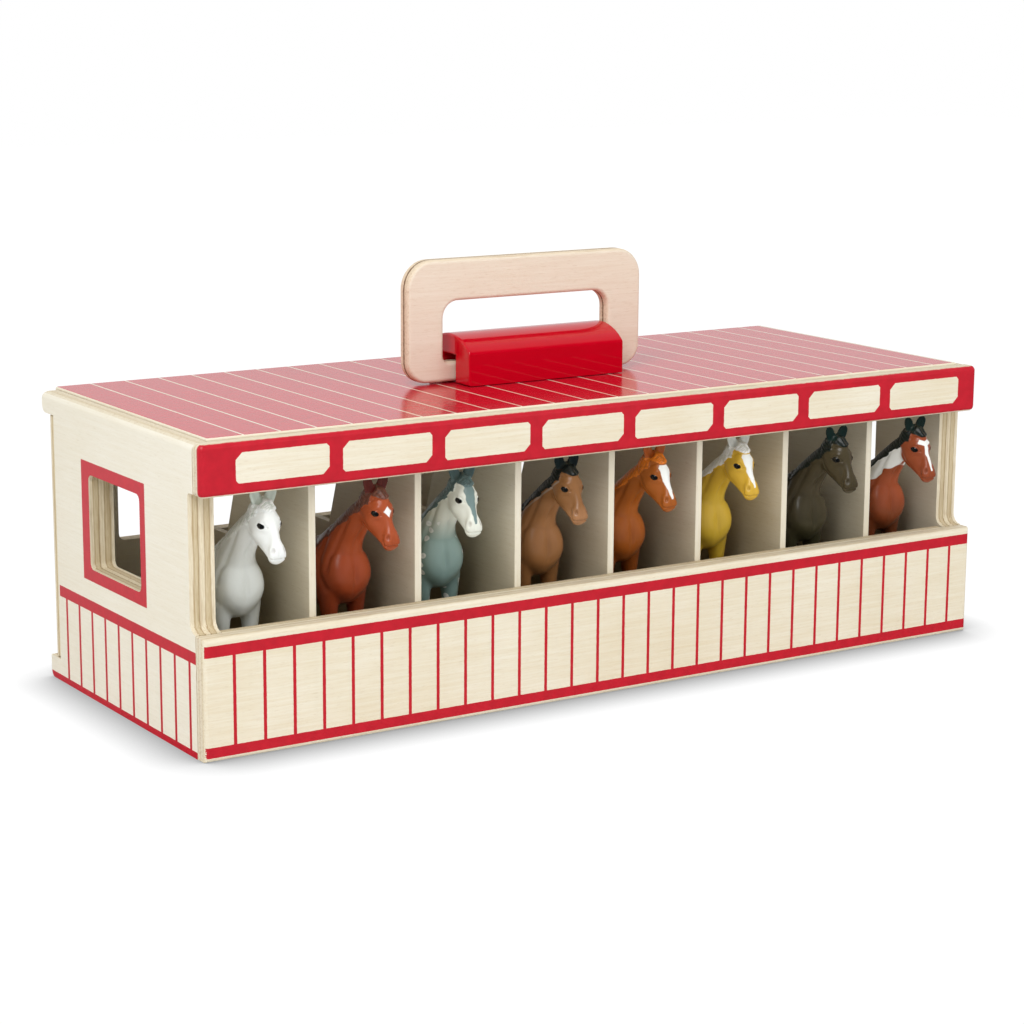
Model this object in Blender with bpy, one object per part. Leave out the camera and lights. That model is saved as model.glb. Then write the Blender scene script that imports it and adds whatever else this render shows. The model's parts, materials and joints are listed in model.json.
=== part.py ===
"""Wooden toy stable: a carry box with eight stalls, two opening back doors,
a fold-down handle and eight toy horses.

Metres, +Z up. X runs along the box, the open front faces -Y and the doors +Y.
The origin is under the middle of everything, on the surface the box stands on.
"""

import math

import bmesh
import bpy
from mathutils import Matrix, Vector

# Overall sizes
LENGTH = 0.368
DEPTH = 0.1423
NOSE_OVERHANG = 0.009

# Board thicknesses
FACE_BOARD = 0.006
END_BOARD = 0.01035
SLAB_BOARD = 0.009
LINING_BOARD = 0.0038
PARTITION_BOARD = 0.003
DOOR_BOARD = 0.006
RAIL_BOARD = 0.005

# Gaps: glued neighbours, and moving neighbours
SEAT_GAP = 0.0003
RUNNING_GAP = 0.0004

# How far cutters reach past a face, and how close two points must be to count as one
OVERRUN = 0.002
MERGE_DISTANCE = 0.000003

# Heights above the surface the box stands on
END_HEIGHT = 0.1172
ROOF_RISE = 0.001
FRONT_PANEL_HEIGHT = 0.0464
LINING_HEIGHT = 0.0463
FASCIA_HEIGHT = 0.0196
PARTITION_REAR_HEIGHT = 0.0651
RAIL_HEIGHT = 0.0107

# End panel outline
NOTCH_DEPTH = 0.0043
NOTCH_FILLET = 0.0043
NOTCH_RISE = 0.0002
NOTCH_TOP_FILLET = 0.0015
NOTCH_TOP_LAP = 0.0009
LIP_OVERHANG = 0.011
LIP_DROP = 0.0003
LIP_RADIUS = 0.003
FOOT_OVERHANG = 0.0094
FOOT_HEIGHT = 0.009
FOOT_RADIUS = 0.003
END_TOP_RADIUS = 0.003
REBATE_WALL = 0.0056
END_WINDOW_WIDTH = 0.0465
END_WINDOW_HEIGHT = 0.0375
END_WINDOW_SILL = 0.0529
END_WINDOW_SETBACK = 0.0519
WINDOW_RADIUS = 0.0026

# Rounded edges of the boards
FACE_EDGE_RADIUS = 0.0018
ROOF_EDGE_RADIUS = 0.0012
SLAB_EDGE_RADIUS = 0.0006
BLOCK_EDGE_RADIUS = 0.0012

# Partitions: where each one stands along the inside, and its slanted rear edge
PARTITION_SHARES = (0.115, 0.246, 0.376, 0.503, 0.628, 0.756, 0.886)
SLANT_FOOT_DEPTH = 0.078
SLANT_RUN = 0.0155

# Doors
DOOR_LIFT = 0.0006
DOOR_MEETING_GAP = 0.0008
DOOR_WINDOW_SILL = 0.0548
DOOR_WINDOW_HEIGHT = 0.0372
DOOR_STILE = 0.0170
DOOR_HINGE_STILE = 0.0270

# Hinge pins
PIN_RADIUS = 0.001
PIN_LENGTH = 0.011
PIN_IN_DOOR = 0.0055

# Magnets that hold the doors shut
MAGNET_RADIUS = 0.003
MAGNET_THICKNESS = 0.002
MAGNET_FROM_EDGE = 0.010
MAGNET_BELOW_TOP = 0.005

# Handle: it frames the block with some play at each end
HANDLE_STILE = 0.01665
HANDLE_HEIGHT = 0.0494
HANDLE_BOARD = 0.007
HANDLE_SIDE_PLAY = -0.0017
HANDLE_SETBACK = 0.0717
HANDLE_TOP_RADIUS = 0.0115
HANDLE_FOOT_RADIUS = 0.009
HANDLE_EDGE_RADIUS = 0.002
HAND_HOLE_PLAY = 0.0024
HAND_HOLE_HEIGHT = 0.0246
HAND_HOLE_TOP_RADIUS = 0.007
HAND_HOLE_FOOT_RADIUS = 0.0024
HANDLE_BAR_HEIGHT = 0.008
HANDLE_CLEARANCE = 0.0008

# Block that the handle turns in
BLOCK_LENGTH = 0.0752
BLOCK_OFFSET = 0.0003
BLOCK_DEPTH = 0.032
BLOCK_SHOULDER = 0.0133
BLOCK_HEIGHT = 0.0197
GROOVE_WIDTH = 0.0096
GROOVE_HEIGHT = 0.0113

# Screws that hold the block to the roof
SCREW_RADIUS = 0.0013
SCREW_HEAD_RADIUS = 0.0026
SCREW_HEAD_HEIGHT = 0.0022
SCREW_REACH = 0.0075
SCREW_SPACING = 0.044
SCREW_FROM_FACE = 0.0050
SCREW_RECESS = 0.0003

# Horses: where each one stands, as shares of the stall pitch and of the stall depth,
# and how far it is turned, in degrees
HORSE_COUNT = 8
HORSE_SIDE_SHARES = (0.032, 0.096, -0.043, 0.002, 0.012, -0.009, -0.032, -0.021)
HORSE_SETBACK_SHARES = (0.067, 0.049, 0.080, 0.056, 0.073, 0.083, 0.0, 0.006)
HORSE_TURNS = (2.1, 5.9, -4.4, -1.7, 3.4, -2.0, -0.8, -2.1)
HORSE_HEIGHT = 0.0875

# Counts of facets
ROUND_SEGMENTS = 3
CORNER_SEGMENTS = 4
ARCH_SEGMENTS = 12
PIN_SIDES = 12
MAGNET_SIDES = 16

# Places that follow from the sizes above
HALF_LENGTH = LENGTH / 2
FRONT_Y = (NOSE_OVERHANG - DEPTH) / 2
REAR_Y = FRONT_Y + DEPTH
CARCASS_FRONT_Y = FRONT_Y + FACE_BOARD + SEAT_GAP
NOTCH_Y = CARCASS_FRONT_Y + NOTCH_DEPTH
RECESS_Y = REAR_Y - LIP_OVERHANG
FOOT_Y = RECESS_Y + FOOT_OVERHANG
INNER_X = HALF_LENGTH - END_BOARD
INNER_LENGTH = 2 * INNER_X
ROOF_TOP = END_HEIGHT + ROOF_RISE
ROOF_UNDERSIDE = ROOF_TOP - SLAB_BOARD
FLOOR_TOP = SLAB_BOARD
UNDER_ROOF = ROOF_UNDERSIDE - SEAT_GAP
ON_FLOOR = FLOOR_TOP + SEAT_GAP
FASCIA_BOTTOM = END_HEIGHT - FASCIA_HEIGHT
STALL_FRONT_Y = CARCASS_FRONT_Y + LINING_BOARD + SEAT_GAP
STALL_DEPTH = RECESS_Y - STALL_FRONT_Y
DOOR_INNER_Y = RECESS_Y + RUNNING_GAP
HINGE_Y = DOOR_INNER_Y + DOOR_BOARD / 2
HINGE_X = HALF_LENGTH - RUNNING_GAP - DOOR_BOARD / 2
DOOR_BOTTOM = FOOT_HEIGHT + DOOR_LIFT
DOOR_TOP = UNDER_ROOF - LIP_DROP - DOOR_LIFT
HAND_HOLE_WIDTH = BLOCK_LENGTH + 2 * HAND_HOLE_PLAY
HANDLE_WIDTH = HAND_HOLE_WIDTH + 2 * HANDLE_STILE
HANDLE_Y = FRONT_Y + HANDLE_SETBACK
HANDLE_AXIS_Z = ROOF_TOP + HANDLE_CLEARANCE + HANDLE_BAR_HEIGHT / 2

# Paint and wood colours: base colour, roughness
COLOURS = {
    "plywood": ((0.83, 0.74, 0.58), 0.6),
    "pale_plywood": ((0.86, 0.79, 0.66), 0.6),
    "red_paint": ((0.60, 0.02, 0.045), 0.35),
    "red_gloss": ((0.50, 0.0, 0.02), 0.2),
    "handle_wood": ((0.80, 0.66, 0.52), 0.55),
    "steel": ((0.55, 0.55, 0.56), 0.35),
}
HORSE_COATS = (
    (0.80, 0.82, 0.80),
    (0.38, 0.07, 0.03),
    (0.25, 0.32, 0.35),
    (0.36, 0.17, 0.09),
    (0.50, 0.16, 0.03),
    (0.66, 0.45, 0.06),
    (0.12, 0.08, 0.065),
    (0.42, 0.08, 0.035),
)
METAL_NAMES = ("steel",)
COAT_ROUGHNESS = 0.4


def clear_scene():
    """Remove every object that is in the file."""
    for item in list(bpy.data.objects):
        bpy.data.objects.remove(item)


def new_collection(name):
    """Return a new collection under the scene's own."""
    made = bpy.data.collections.new(name)
    bpy.context.scene.collection.children.link(made)
    return made


def paint(name, colour, roughness, metallic=0.0):
    """Return a Principled BSDF material."""
    made = bpy.data.materials.get(name) or bpy.data.materials.new(name)
    made.use_nodes = True
    shader = made.node_tree.nodes["Principled BSDF"]
    shader.inputs["Base Color"].default_value = (*colour, 1.0)
    shader.inputs["Roughness"].default_value = roughness
    shader.inputs["Metallic"].default_value = metallic
    return made


def finish(kind):
    """Return the material of one of the named finishes."""
    colour, roughness = COLOURS[kind]
    return paint(kind, colour, roughness, 1.0 if kind in METAL_NAMES else 0.0)


def as_object(name, mesh, material, parent=None):
    """Make a part from a mesh, in the model's collection."""
    made = bpy.data.objects.new(name, mesh)
    parts.objects.link(made)
    mesh.materials.clear()
    mesh.materials.append(material)
    if parent is not None:
        made.parent = parent
    return made


def as_cutter(name, mesh):
    """Make a cutter: wire only, and left out of the model."""
    made = bpy.data.objects.new(name, mesh)
    cutters.objects.link(made)
    made.hide_render = True
    made.display_type = "WIRE"
    return made


def cut(part, cutter):
    """Take the cutter's shape out of the part."""
    step = part.modifiers.new("cut_" + cutter.name, "BOOLEAN")
    step.operation = "DIFFERENCE"
    step.solver = "EXACT"
    step.object = cutter


def box_mesh(name, low, high, rounded=None, radius=0.0, segments=ROUND_SEGMENTS):
    """Return a box between two corners, with the chosen edges rounded."""
    shape = bmesh.new()
    bmesh.ops.create_cube(shape, size=1.0)
    low, high = Vector(low), Vector(high)
    bmesh.ops.scale(shape, vec=high - low, verts=shape.verts)
    bmesh.ops.translate(shape, vec=(low + high) / 2, verts=shape.verts)
    if rounded is not None:
        edges = [e for e in shape.edges if rounded(*(v.co for v in e.verts))]
        bmesh.ops.bevel(shape, geom=edges, offset=radius, segments=segments,
                        profile=0.5, affect="EDGES", clamp_overlap=True)
    mesh = bpy.data.meshes.new(name)
    shape.to_mesh(mesh)
    shape.free()
    return mesh


def on_side(axis, value):
    """Return a test for edges that lie in one side of a box."""
    def test(a, b):
        return abs(a[axis] - value) < SEAT_GAP / 2 and abs(b[axis] - value) < SEAT_GAP / 2
    return test


def along(axis):
    """Return a test for edges that run along an axis."""
    def test(a, b):
        return abs((b - a)[axis]) > SEAT_GAP
    return test


def cylinder_mesh(name, radius, length, sides, axis="Z"):
    """Return a closed cylinder centred on its own middle."""
    shape = bmesh.new()
    bmesh.ops.create_cone(shape, cap_ends=True, segments=sides,
                          radius1=radius, radius2=radius, depth=length)
    if axis == "Y":
        turn = Matrix.Rotation(math.radians(90), 3, "X")
        bmesh.ops.rotate(shape, matrix=turn, verts=shape.verts)
    mesh = bpy.data.meshes.new(name)
    shape.to_mesh(mesh)
    shape.free()
    return mesh


def arc(centre, radius, start, end, segments=CORNER_SEGMENTS):
    """Return points along an arc, angles in degrees."""
    points = []
    for step in range(segments + 1):
        angle = math.radians(start + (end - start) * step / segments)
        points.append((centre[0] + radius * math.cos(angle),
                       centre[1] + radius * math.sin(angle)))
    return points


def rounded_rectangle(left, right, bottom, top, foot_radius, top_radius):
    """Return the outline of a rectangle, anticlockwise from its lower left corner."""
    outline = arc((left + foot_radius, bottom + foot_radius), foot_radius, 180, 270)
    outline += arc((right - foot_radius, bottom + foot_radius), foot_radius, 270, 360)
    outline += arc((right - top_radius, top - top_radius), top_radius, 0, 90)
    outline += arc((left + top_radius, top - top_radius), top_radius, 90, 180)
    return outline


def plate_mesh(name, outlines, thickness, stand, edge_radius=0.0):
    """Return a flat plate cut to outlines: the first is its rim, the others are holes.

    The plate is drawn in its own XY plane, centred on its thickness, and stand
    turns and moves it into place.
    """
    curve = bpy.data.curves.new(name + "_outline", "CURVE")
    curve.dimensions = "2D"
    curve.fill_mode = "BOTH"
    curve.extrude = thickness / 2 - edge_radius
    curve.bevel_depth = edge_radius
    curve.bevel_resolution = 1
    curve.offset = -edge_radius
    for outline in outlines:
        spline = curve.splines.new("POLY")
        spline.points.add(len(outline) - 1)
        for point, (u, v) in zip(spline.points, outline):
            point.co = (u, v, 0.0, 1.0)
        spline.use_cyclic_u = True
    holder = bpy.data.objects.new(name + "_outline", curve)
    parts.objects.link(holder)
    view = bpy.context.evaluated_depsgraph_get()
    mesh = bpy.data.meshes.new_from_object(holder.evaluated_get(view))
    bpy.data.objects.remove(holder)
    bpy.data.curves.remove(curve)
    shape = bmesh.new()
    shape.from_mesh(mesh)
    bmesh.ops.remove_doubles(shape, verts=shape.verts, dist=MERGE_DISTANCE)
    bmesh.ops.transform(shape, matrix=stand, verts=shape.verts)
    bmesh.ops.recalc_face_normals(shape, faces=shape.faces)
    shape.to_mesh(mesh)
    shape.free()
    mesh.name = name
    return mesh


def stand_across(x):
    """Plate drawn as (y, z), standing across the box at x."""
    return Matrix.Translation((x, 0, 0)) @ Matrix(((0, 0, 1, 0), (1, 0, 0, 0), (0, 1, 0, 0), (0, 0, 0, 1)))


def stand_along(y):
    """Plate drawn as (x, z), standing along the box at y."""
    return Matrix.Translation((0, y, 0)) @ Matrix(((1, 0, 0, 0), (0, 0, -1, 0), (0, 1, 0, 0), (0, 0, 0, 1)))


def end_outline():
    """Side view of an end panel, as (y, z) points."""
    notch_foot = FRONT_PANEL_HEIGHT + NOTCH_RISE
    notch_top = FASCIA_BOTTOM + NOTCH_TOP_LAP
    lip_bottom = UNDER_ROOF - LIP_DROP
    outline = [(CARCASS_FRONT_Y, 0.0)]
    outline += [(CARCASS_FRONT_Y, notch_foot)]
    outline += arc((NOTCH_Y - NOTCH_FILLET, notch_foot + NOTCH_FILLET), NOTCH_FILLET, 270, 360)[1:]
    outline += arc((NOTCH_Y - NOTCH_TOP_FILLET, notch_top - NOTCH_TOP_FILLET), NOTCH_TOP_FILLET, 0, 90)
    outline += [(CARCASS_FRONT_Y, notch_top), (CARCASS_FRONT_Y, END_HEIGHT)]
    outline += arc((REAR_Y - LIP_RADIUS, END_HEIGHT - LIP_RADIUS), LIP_RADIUS, 90, 0)
    outline += arc((REAR_Y - LIP_RADIUS, lip_bottom + LIP_RADIUS), LIP_RADIUS, 0, -90)
    outline += [(RECESS_Y, lip_bottom), (RECESS_Y, FOOT_HEIGHT), (FOOT_Y, FOOT_HEIGHT)]
    outline += arc((FOOT_Y - FOOT_RADIUS, FOOT_RADIUS), FOOT_RADIUS, 0, -90)
    return outline


def end_window():
    """Return the front, rear, bottom and top of the window in an end panel."""
    front = FRONT_Y + END_WINDOW_SETBACK
    return (front, front + END_WINDOW_WIDTH, END_WINDOW_SILL, END_WINDOW_SILL + END_WINDOW_HEIGHT)


def make_end_panel(name, side):
    """End panel: notched front edge, window, rebate for the roof, lip and foot for the door."""
    middle = side * (HALF_LENGTH - END_BOARD / 2)
    front, rear, bottom, top = end_window()
    window = rounded_rectangle(front, rear, bottom, top, WINDOW_RADIUS, WINDOW_RADIUS)
    mesh = plate_mesh(name, [end_outline(), window], END_BOARD, stand_across(middle))
    panel = as_object(name, mesh, finish("pale_plywood"))

    inner = side * (INNER_X - OVERRUN)
    wall = side * (HALF_LENGTH - REBATE_WALL)
    low = (min(inner, wall), FRONT_Y - OVERRUN, UNDER_ROOF)
    high = (max(inner, wall), REAR_Y + OVERRUN, END_HEIGHT + OVERRUN)
    cut(panel, as_cutter(name + "_rebate", box_mesh(name + "_rebate", low, high)))

    outer = HALF_LENGTH - END_TOP_RADIUS
    corner = arc((outer, END_HEIGHT - END_TOP_RADIUS), END_TOP_RADIUS, 0, 90)
    corner += [(outer, END_HEIGHT + OVERRUN), (HALF_LENGTH + OVERRUN, END_HEIGHT + OVERRUN),
               (HALF_LENGTH + OVERRUN, END_HEIGHT - END_TOP_RADIUS)]
    corner = [(side * x, z) for x, z in corner]
    middle_y = (FRONT_Y + REAR_Y) / 2
    round_mesh = plate_mesh(name + "_rounding", [corner], DEPTH + OVERRUN, stand_along(middle_y))
    cut(panel, as_cutter(name + "_rounding", round_mesh))

    for label, mouth, way in (("foot", FOOT_HEIGHT, -1), ("lip", UNDER_ROOF - LIP_DROP, 1)):
        cut(panel, pin_hole(name + "_" + label + "_hole", side, mouth, way))
    return panel


def pin_hole(name, side, mouth, way):
    """Cutter for a blind pin hole whose mouth is at height mouth, going down or up."""
    depth = PIN_LENGTH - PIN_IN_DOOR + SEAT_GAP - DOOR_LIFT
    mesh = cylinder_mesh(name, PIN_RADIUS + SEAT_GAP, depth + OVERRUN, PIN_SIDES)
    hole = as_cutter(name, mesh)
    hole.location = (side * HINGE_X, HINGE_Y, mouth + way * (depth - OVERRUN) / 2)
    return hole


def make_boards():
    """Floor, roof, front panel, lining behind it, fascia and the rail behind the doors."""
    inside = INNER_X - SEAT_GAP
    low = (-inside, CARCASS_FRONT_Y, 0.0)
    high = (inside, FOOT_Y, FLOOR_TOP)
    as_object("floor_board", box_mesh("floor_board", low, high, on_side(1, FOOT_Y), SLAB_EDGE_RADIUS, 1),
              finish("plywood"))

    across = HALF_LENGTH - REBATE_WALL - SEAT_GAP
    low = (-across, CARCASS_FRONT_Y, ROOF_UNDERSIDE)
    high = (across, REAR_Y, ROOF_TOP)
    top_edges = on_side(2, ROOF_TOP)
    roof = as_object("roof_board", box_mesh("roof_board", low, high, top_edges, ROOF_EDGE_RADIUS),
                     finish("red_paint"))
    for index in range(len(screw_places())):
        cut(roof, screw_hole("roof", index))

    face_rear = FRONT_Y + FACE_BOARD
    low = (-HALF_LENGTH, FRONT_Y, 0.0)
    high = (HALF_LENGTH, face_rear, FRONT_PANEL_HEIGHT)
    front_edges = on_side(1, FRONT_Y)
    as_object("front_panel", box_mesh("front_panel", low, high, front_edges, FACE_EDGE_RADIUS),
              finish("plywood"))

    low = (-HALF_LENGTH, FRONT_Y, FASCIA_BOTTOM)
    high = (HALF_LENGTH, face_rear, END_HEIGHT)
    as_object("fascia_board", box_mesh("fascia_board", low, high, front_edges, FACE_EDGE_RADIUS),
              finish("red_paint"))

    low = (-inside, CARCASS_FRONT_Y, ON_FLOOR)
    high = (inside, CARCASS_FRONT_Y + LINING_BOARD, LINING_HEIGHT)
    as_object("front_lining", box_mesh("front_lining", low, high), finish("plywood"))

    low = (-inside, RECESS_Y - RAIL_BOARD, UNDER_ROOF - RAIL_HEIGHT)
    high = (inside, RECESS_Y, UNDER_ROOF)
    rail = as_object("rear_rail", box_mesh("rear_rail", low, high), finish("plywood"))
    for side in (-1, 1):
        cut(rail, magnet_recess("rail", side, RECESS_Y))


def partition_x(index):
    """Middle of a partition along the box."""
    return INNER_LENGTH * PARTITION_SHARES[index] - INNER_X


def partition_outline():
    """Side view of a partition: tall at the front, cut away on a slant at the rear."""
    slant_foot = FRONT_Y + SLANT_FOOT_DEPTH
    slant_top = slant_foot - SLANT_RUN
    rear = RECESS_Y
    return [(STALL_FRONT_Y, ON_FLOOR), (rear, ON_FLOOR), (rear, PARTITION_REAR_HEIGHT),
            (slant_foot, PARTITION_REAR_HEIGHT), (slant_top, UNDER_ROOF),
            (STALL_FRONT_Y, UNDER_ROOF)]


def make_partitions():
    """The thin walls between the stalls."""
    for index in range(len(PARTITION_SHARES)):
        name = "partition_%d" % (index + 1)
        mesh = plate_mesh(name, [partition_outline()], PARTITION_BOARD, stand_across(partition_x(index)))
        as_object(name, mesh, finish("plywood"))


def magnet_place(side, inner_y):
    """Middle of a magnet whose outer face lies in the plane inner_y."""
    return (side * MAGNET_FROM_EDGE, inner_y, DOOR_TOP - MAGNET_BELOW_TOP)


def magnet_recess(label, side, face_y):
    """Cutter for a round recess in a face of the door or the rail, open on that face."""
    name = "%s_magnet_recess_%s" % (label, "left" if side < 0 else "right")
    deep = MAGNET_THICKNESS + SEAT_GAP
    mesh = cylinder_mesh(name, MAGNET_RADIUS + SEAT_GAP, 2 * deep, MAGNET_SIDES, "Y")
    recess = as_cutter(name, mesh)
    recess.location = magnet_place(side, face_y)
    return recess


def make_doors():
    """Two doors that swing on pins at the outer ends, each with its magnet and pins."""
    for side, label in ((-1, "left"), (1, "right")):
        hinge = bpy.data.objects.new(label + "_door_hinge", None)
        parts.objects.link(hinge)
        hinge.location = (side * HINGE_X, HINGE_Y, DOOR_BOTTOM)
        make_door(label + "_door", side, hinge)
        make_magnets(label, side, hinge)
        make_pins(label, side)


def make_door(name, side, hinge):
    """A door leaf with a round hinge end and a window, drawn from its hinge axis."""
    end = side * DOOR_BOARD / 2
    free = side * (DOOR_MEETING_GAP / 2 - HINGE_X)
    high_z = DOOR_TOP - DOOR_BOTTOM
    low = (min(end, free), -DOOR_BOARD / 2, 0.0)
    high = (max(end, free), DOOR_BOARD / 2, high_z)

    def hinge_edges(a, b):
        return on_side(0, end)(a, b) and along(2)(a, b)

    mesh = box_mesh(name, low, high, hinge_edges, DOOR_BOARD / 2, 2 * ROUND_SEGMENTS)
    door = as_object(name, mesh, finish("pale_plywood"), hinge)

    near = side * (HALF_LENGTH - DOOR_HINGE_STILE - HINGE_X)
    far = side * (DOOR_STILE - HINGE_X)
    low = (min(near, far), -DOOR_BOARD, DOOR_WINDOW_SILL - DOOR_BOTTOM)
    high = (max(near, far), DOOR_BOARD, DOOR_WINDOW_SILL + DOOR_WINDOW_HEIGHT - DOOR_BOTTOM)
    window_mesh = box_mesh(name + "_window", low, high, along(1), WINDOW_RADIUS)
    window = as_cutter(name + "_window", window_mesh)
    window.parent = hinge
    cut(door, window)
    cut(door, magnet_recess("door", side, DOOR_INNER_Y))

    for label, mouth, way in (("top", DOOR_TOP, -1), ("bottom", DOOR_BOTTOM, 1)):
        deep = PIN_IN_DOOR + SEAT_GAP
        hole_mesh = cylinder_mesh(name + label, PIN_RADIUS + SEAT_GAP, deep + OVERRUN, PIN_SIDES)
        hole = as_cutter(name + "_" + label + "_hole", hole_mesh)
        hole.location = (side * HINGE_X, HINGE_Y, mouth + way * (deep - OVERRUN) / 2)
        cut(door, hole)
    return door


def make_magnets(label, side, hinge):
    """The door's magnet and the one that it meets in the rail."""
    mesh = cylinder_mesh(label + "_magnet", MAGNET_RADIUS, MAGNET_THICKNESS, MAGNET_SIDES, "Y")
    in_door = as_object(label + "_door_magnet", mesh, finish("steel"), hinge)
    in_door.location = Vector(magnet_place(side, DOOR_INNER_Y + MAGNET_THICKNESS / 2)) - hinge.location
    mesh = cylinder_mesh(label + "_catch", MAGNET_RADIUS, MAGNET_THICKNESS, MAGNET_SIDES, "Y")
    in_rail = as_object(label + "_catch_magnet", mesh, finish("steel"))
    in_rail.location = magnet_place(side, RECESS_Y - MAGNET_THICKNESS / 2)


def make_pins(label, side):
    """The two steel pins that a door swings on, held in the foot and in the lip."""
    for end, low in (("bottom", DOOR_BOTTOM + PIN_IN_DOOR - PIN_LENGTH),
                     ("top", DOOR_TOP - PIN_IN_DOOR)):
        name = "%s_hinge_pin_%s" % (label, end)
        mesh = cylinder_mesh(name, PIN_RADIUS, PIN_LENGTH, PIN_SIDES)
        pin = as_object(name, mesh, finish("steel"))
        pin.location = (side * HINGE_X, HINGE_Y, low + PIN_LENGTH / 2)


def make_handle():
    """Closed loop of board that folds flat about its bottom bar."""
    axis = bpy.data.objects.new("handle_axis", None)
    parts.objects.link(axis)
    axis.location = (HANDLE_SIDE_PLAY, HANDLE_Y, HANDLE_AXIS_Z)
    foot = -HANDLE_BAR_HEIGHT / 2
    rim = rounded_rectangle(-HANDLE_WIDTH / 2, HANDLE_WIDTH / 2, foot, foot + HANDLE_HEIGHT,
                            HANDLE_FOOT_RADIUS, HANDLE_TOP_RADIUS)
    hole = rounded_rectangle(-HAND_HOLE_WIDTH / 2, HAND_HOLE_WIDTH / 2, -foot, -foot + HAND_HOLE_HEIGHT,
                             HAND_HOLE_FOOT_RADIUS, HAND_HOLE_TOP_RADIUS)
    mesh = plate_mesh("handle", [rim, hole[::-1]], HANDLE_BOARD, stand_along(0), HANDLE_EDGE_RADIUS)
    as_object("handle", mesh, finish("handle_wood"), axis)


def make_block():
    """Arched block on the roof, with the groove that the handle's bar turns in."""
    half = BLOCK_DEPTH / 2
    rise = BLOCK_HEIGHT - BLOCK_SHOULDER
    radius = (half * half + rise * rise) / (2 * rise)
    spread = math.degrees(math.asin(half / radius))
    base = ROOF_TOP + SEAT_GAP
    groove = GROOVE_WIDTH / 2
    centre = (0.0, base + BLOCK_HEIGHT - radius)
    outline = [(-half, base), (-groove, base), (-groove, base + GROOVE_HEIGHT),
               (groove, base + GROOVE_HEIGHT), (groove, base), (half, base)]
    outline += arc(centre, radius, 90 - spread, 90 + spread, ARCH_SEGMENTS)
    outline = [(y + HANDLE_Y, z) for y, z in outline]
    mesh = plate_mesh("handle_block", [outline], BLOCK_LENGTH, stand_across(BLOCK_OFFSET),
                      BLOCK_EDGE_RADIUS)
    block = as_object("handle_block", mesh, finish("red_gloss"))
    for index in range(len(screw_places())):
        cut(block, screw_hole("block", index))


def screw_places():
    """Middle of each screw that holds the block, as (x, y)."""
    y = BLOCK_DEPTH / 2 - SCREW_FROM_FACE
    return [(BLOCK_OFFSET + sx * SCREW_SPACING / 2, HANDLE_Y + sy * y) for sy in (-1, 1) for sx in (-1, 1)]


def screw_profile(grow, reach):
    """Outline of a countersunk screw from its tip down to its head, as (radius, height)."""
    shank = SCREW_RADIUS + grow
    head = SCREW_HEAD_RADIUS + grow
    return [(0.0, reach), (shank, reach), (shank, SCREW_HEAD_HEIGHT), (head, 0.0), (0.0, 0.0)]


def turned_mesh(name, profile, sides):
    """Return a solid turned about Z from a profile of (radius, height) points."""
    shape = bmesh.new()
    rim = [shape.verts.new((r, 0.0, z)) for r, z in profile]
    edges = [shape.edges.new(pair) for pair in zip(rim, rim[1:])]
    bmesh.ops.spin(shape, geom=rim + edges, cent=(0, 0, 0), axis=(0, 0, 1),
                   angle=math.radians(360), steps=sides, use_merge=True)
    bmesh.ops.remove_doubles(shape, verts=shape.verts, dist=MERGE_DISTANCE)
    bmesh.ops.recalc_face_normals(shape, faces=shape.faces)
    mesh = bpy.data.meshes.new(name)
    shape.to_mesh(mesh)
    shape.free()
    return mesh


def screw_hole(label, index):
    """Cutter for one screw's hole through the roof and into the block."""
    name = "%s_screw_hole_%d" % (label, index + 1)
    x, y = screw_places()[index]
    reach = SLAB_BOARD + SCREW_REACH + SEAT_GAP
    profile = screw_profile(SEAT_GAP, reach)
    profile[-2:] = [(SCREW_HEAD_RADIUS + SEAT_GAP, 0.0),
                    (SCREW_HEAD_RADIUS + SEAT_GAP, -OVERRUN), (0.0, -OVERRUN)]
    hole = as_cutter(name, turned_mesh(name, profile, PIN_SIDES))
    hole.location = (x, y, ROOF_UNDERSIDE + SCREW_RECESS)
    return hole


def make_screws():
    """Countersunk screws from under the roof into the block."""
    for index, (x, y) in enumerate(screw_places()):
        name = "block_screw_%d" % (index + 1)
        mesh = turned_mesh(name, screw_profile(0.0, SLAB_BOARD + SCREW_REACH), PIN_SIDES)
        screw = as_object(name, mesh, finish("steel"))
        screw.location = (x, y, ROOF_UNDERSIDE + SCREW_RECESS)


# A horse's shape, in shares of its height. It faces -Y with its nose at zero and its
# hooves at zero. Each ring runs between two edge points and has a half width:
# (first edge behind the nose, its height, second edge behind the nose, its height, half width).
BODY_SHARES = (
    (0.298, 0.585, 0.290, 0.500, 0.050), (0.322, 0.645, 0.305, 0.450, 0.092),
    (0.375, 0.690, 0.350, 0.405, 0.115), (0.465, 0.692, 0.452, 0.378, 0.130),
    (0.590, 0.660, 0.580, 0.358, 0.139), (0.715, 0.632, 0.715, 0.362, 0.142),
    (0.850, 0.645, 0.845, 0.395, 0.136), (0.950, 0.645, 0.950, 0.425, 0.116),
    (1.015, 0.595, 1.010, 0.465, 0.076), (1.040, 0.550, 1.038, 0.505, 0.030),
)
NECK_SHARES = (
    (0.520, 0.675, 0.300, 0.530, 0.106), (0.440, 0.735, 0.312, 0.605, 0.086),
    (0.355, 0.800, 0.292, 0.675, 0.068), (0.275, 0.860, 0.250, 0.735, 0.057),
    (0.205, 0.905, 0.205, 0.790, 0.050), (0.160, 0.920, 0.165, 0.830, 0.040),
)
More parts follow.
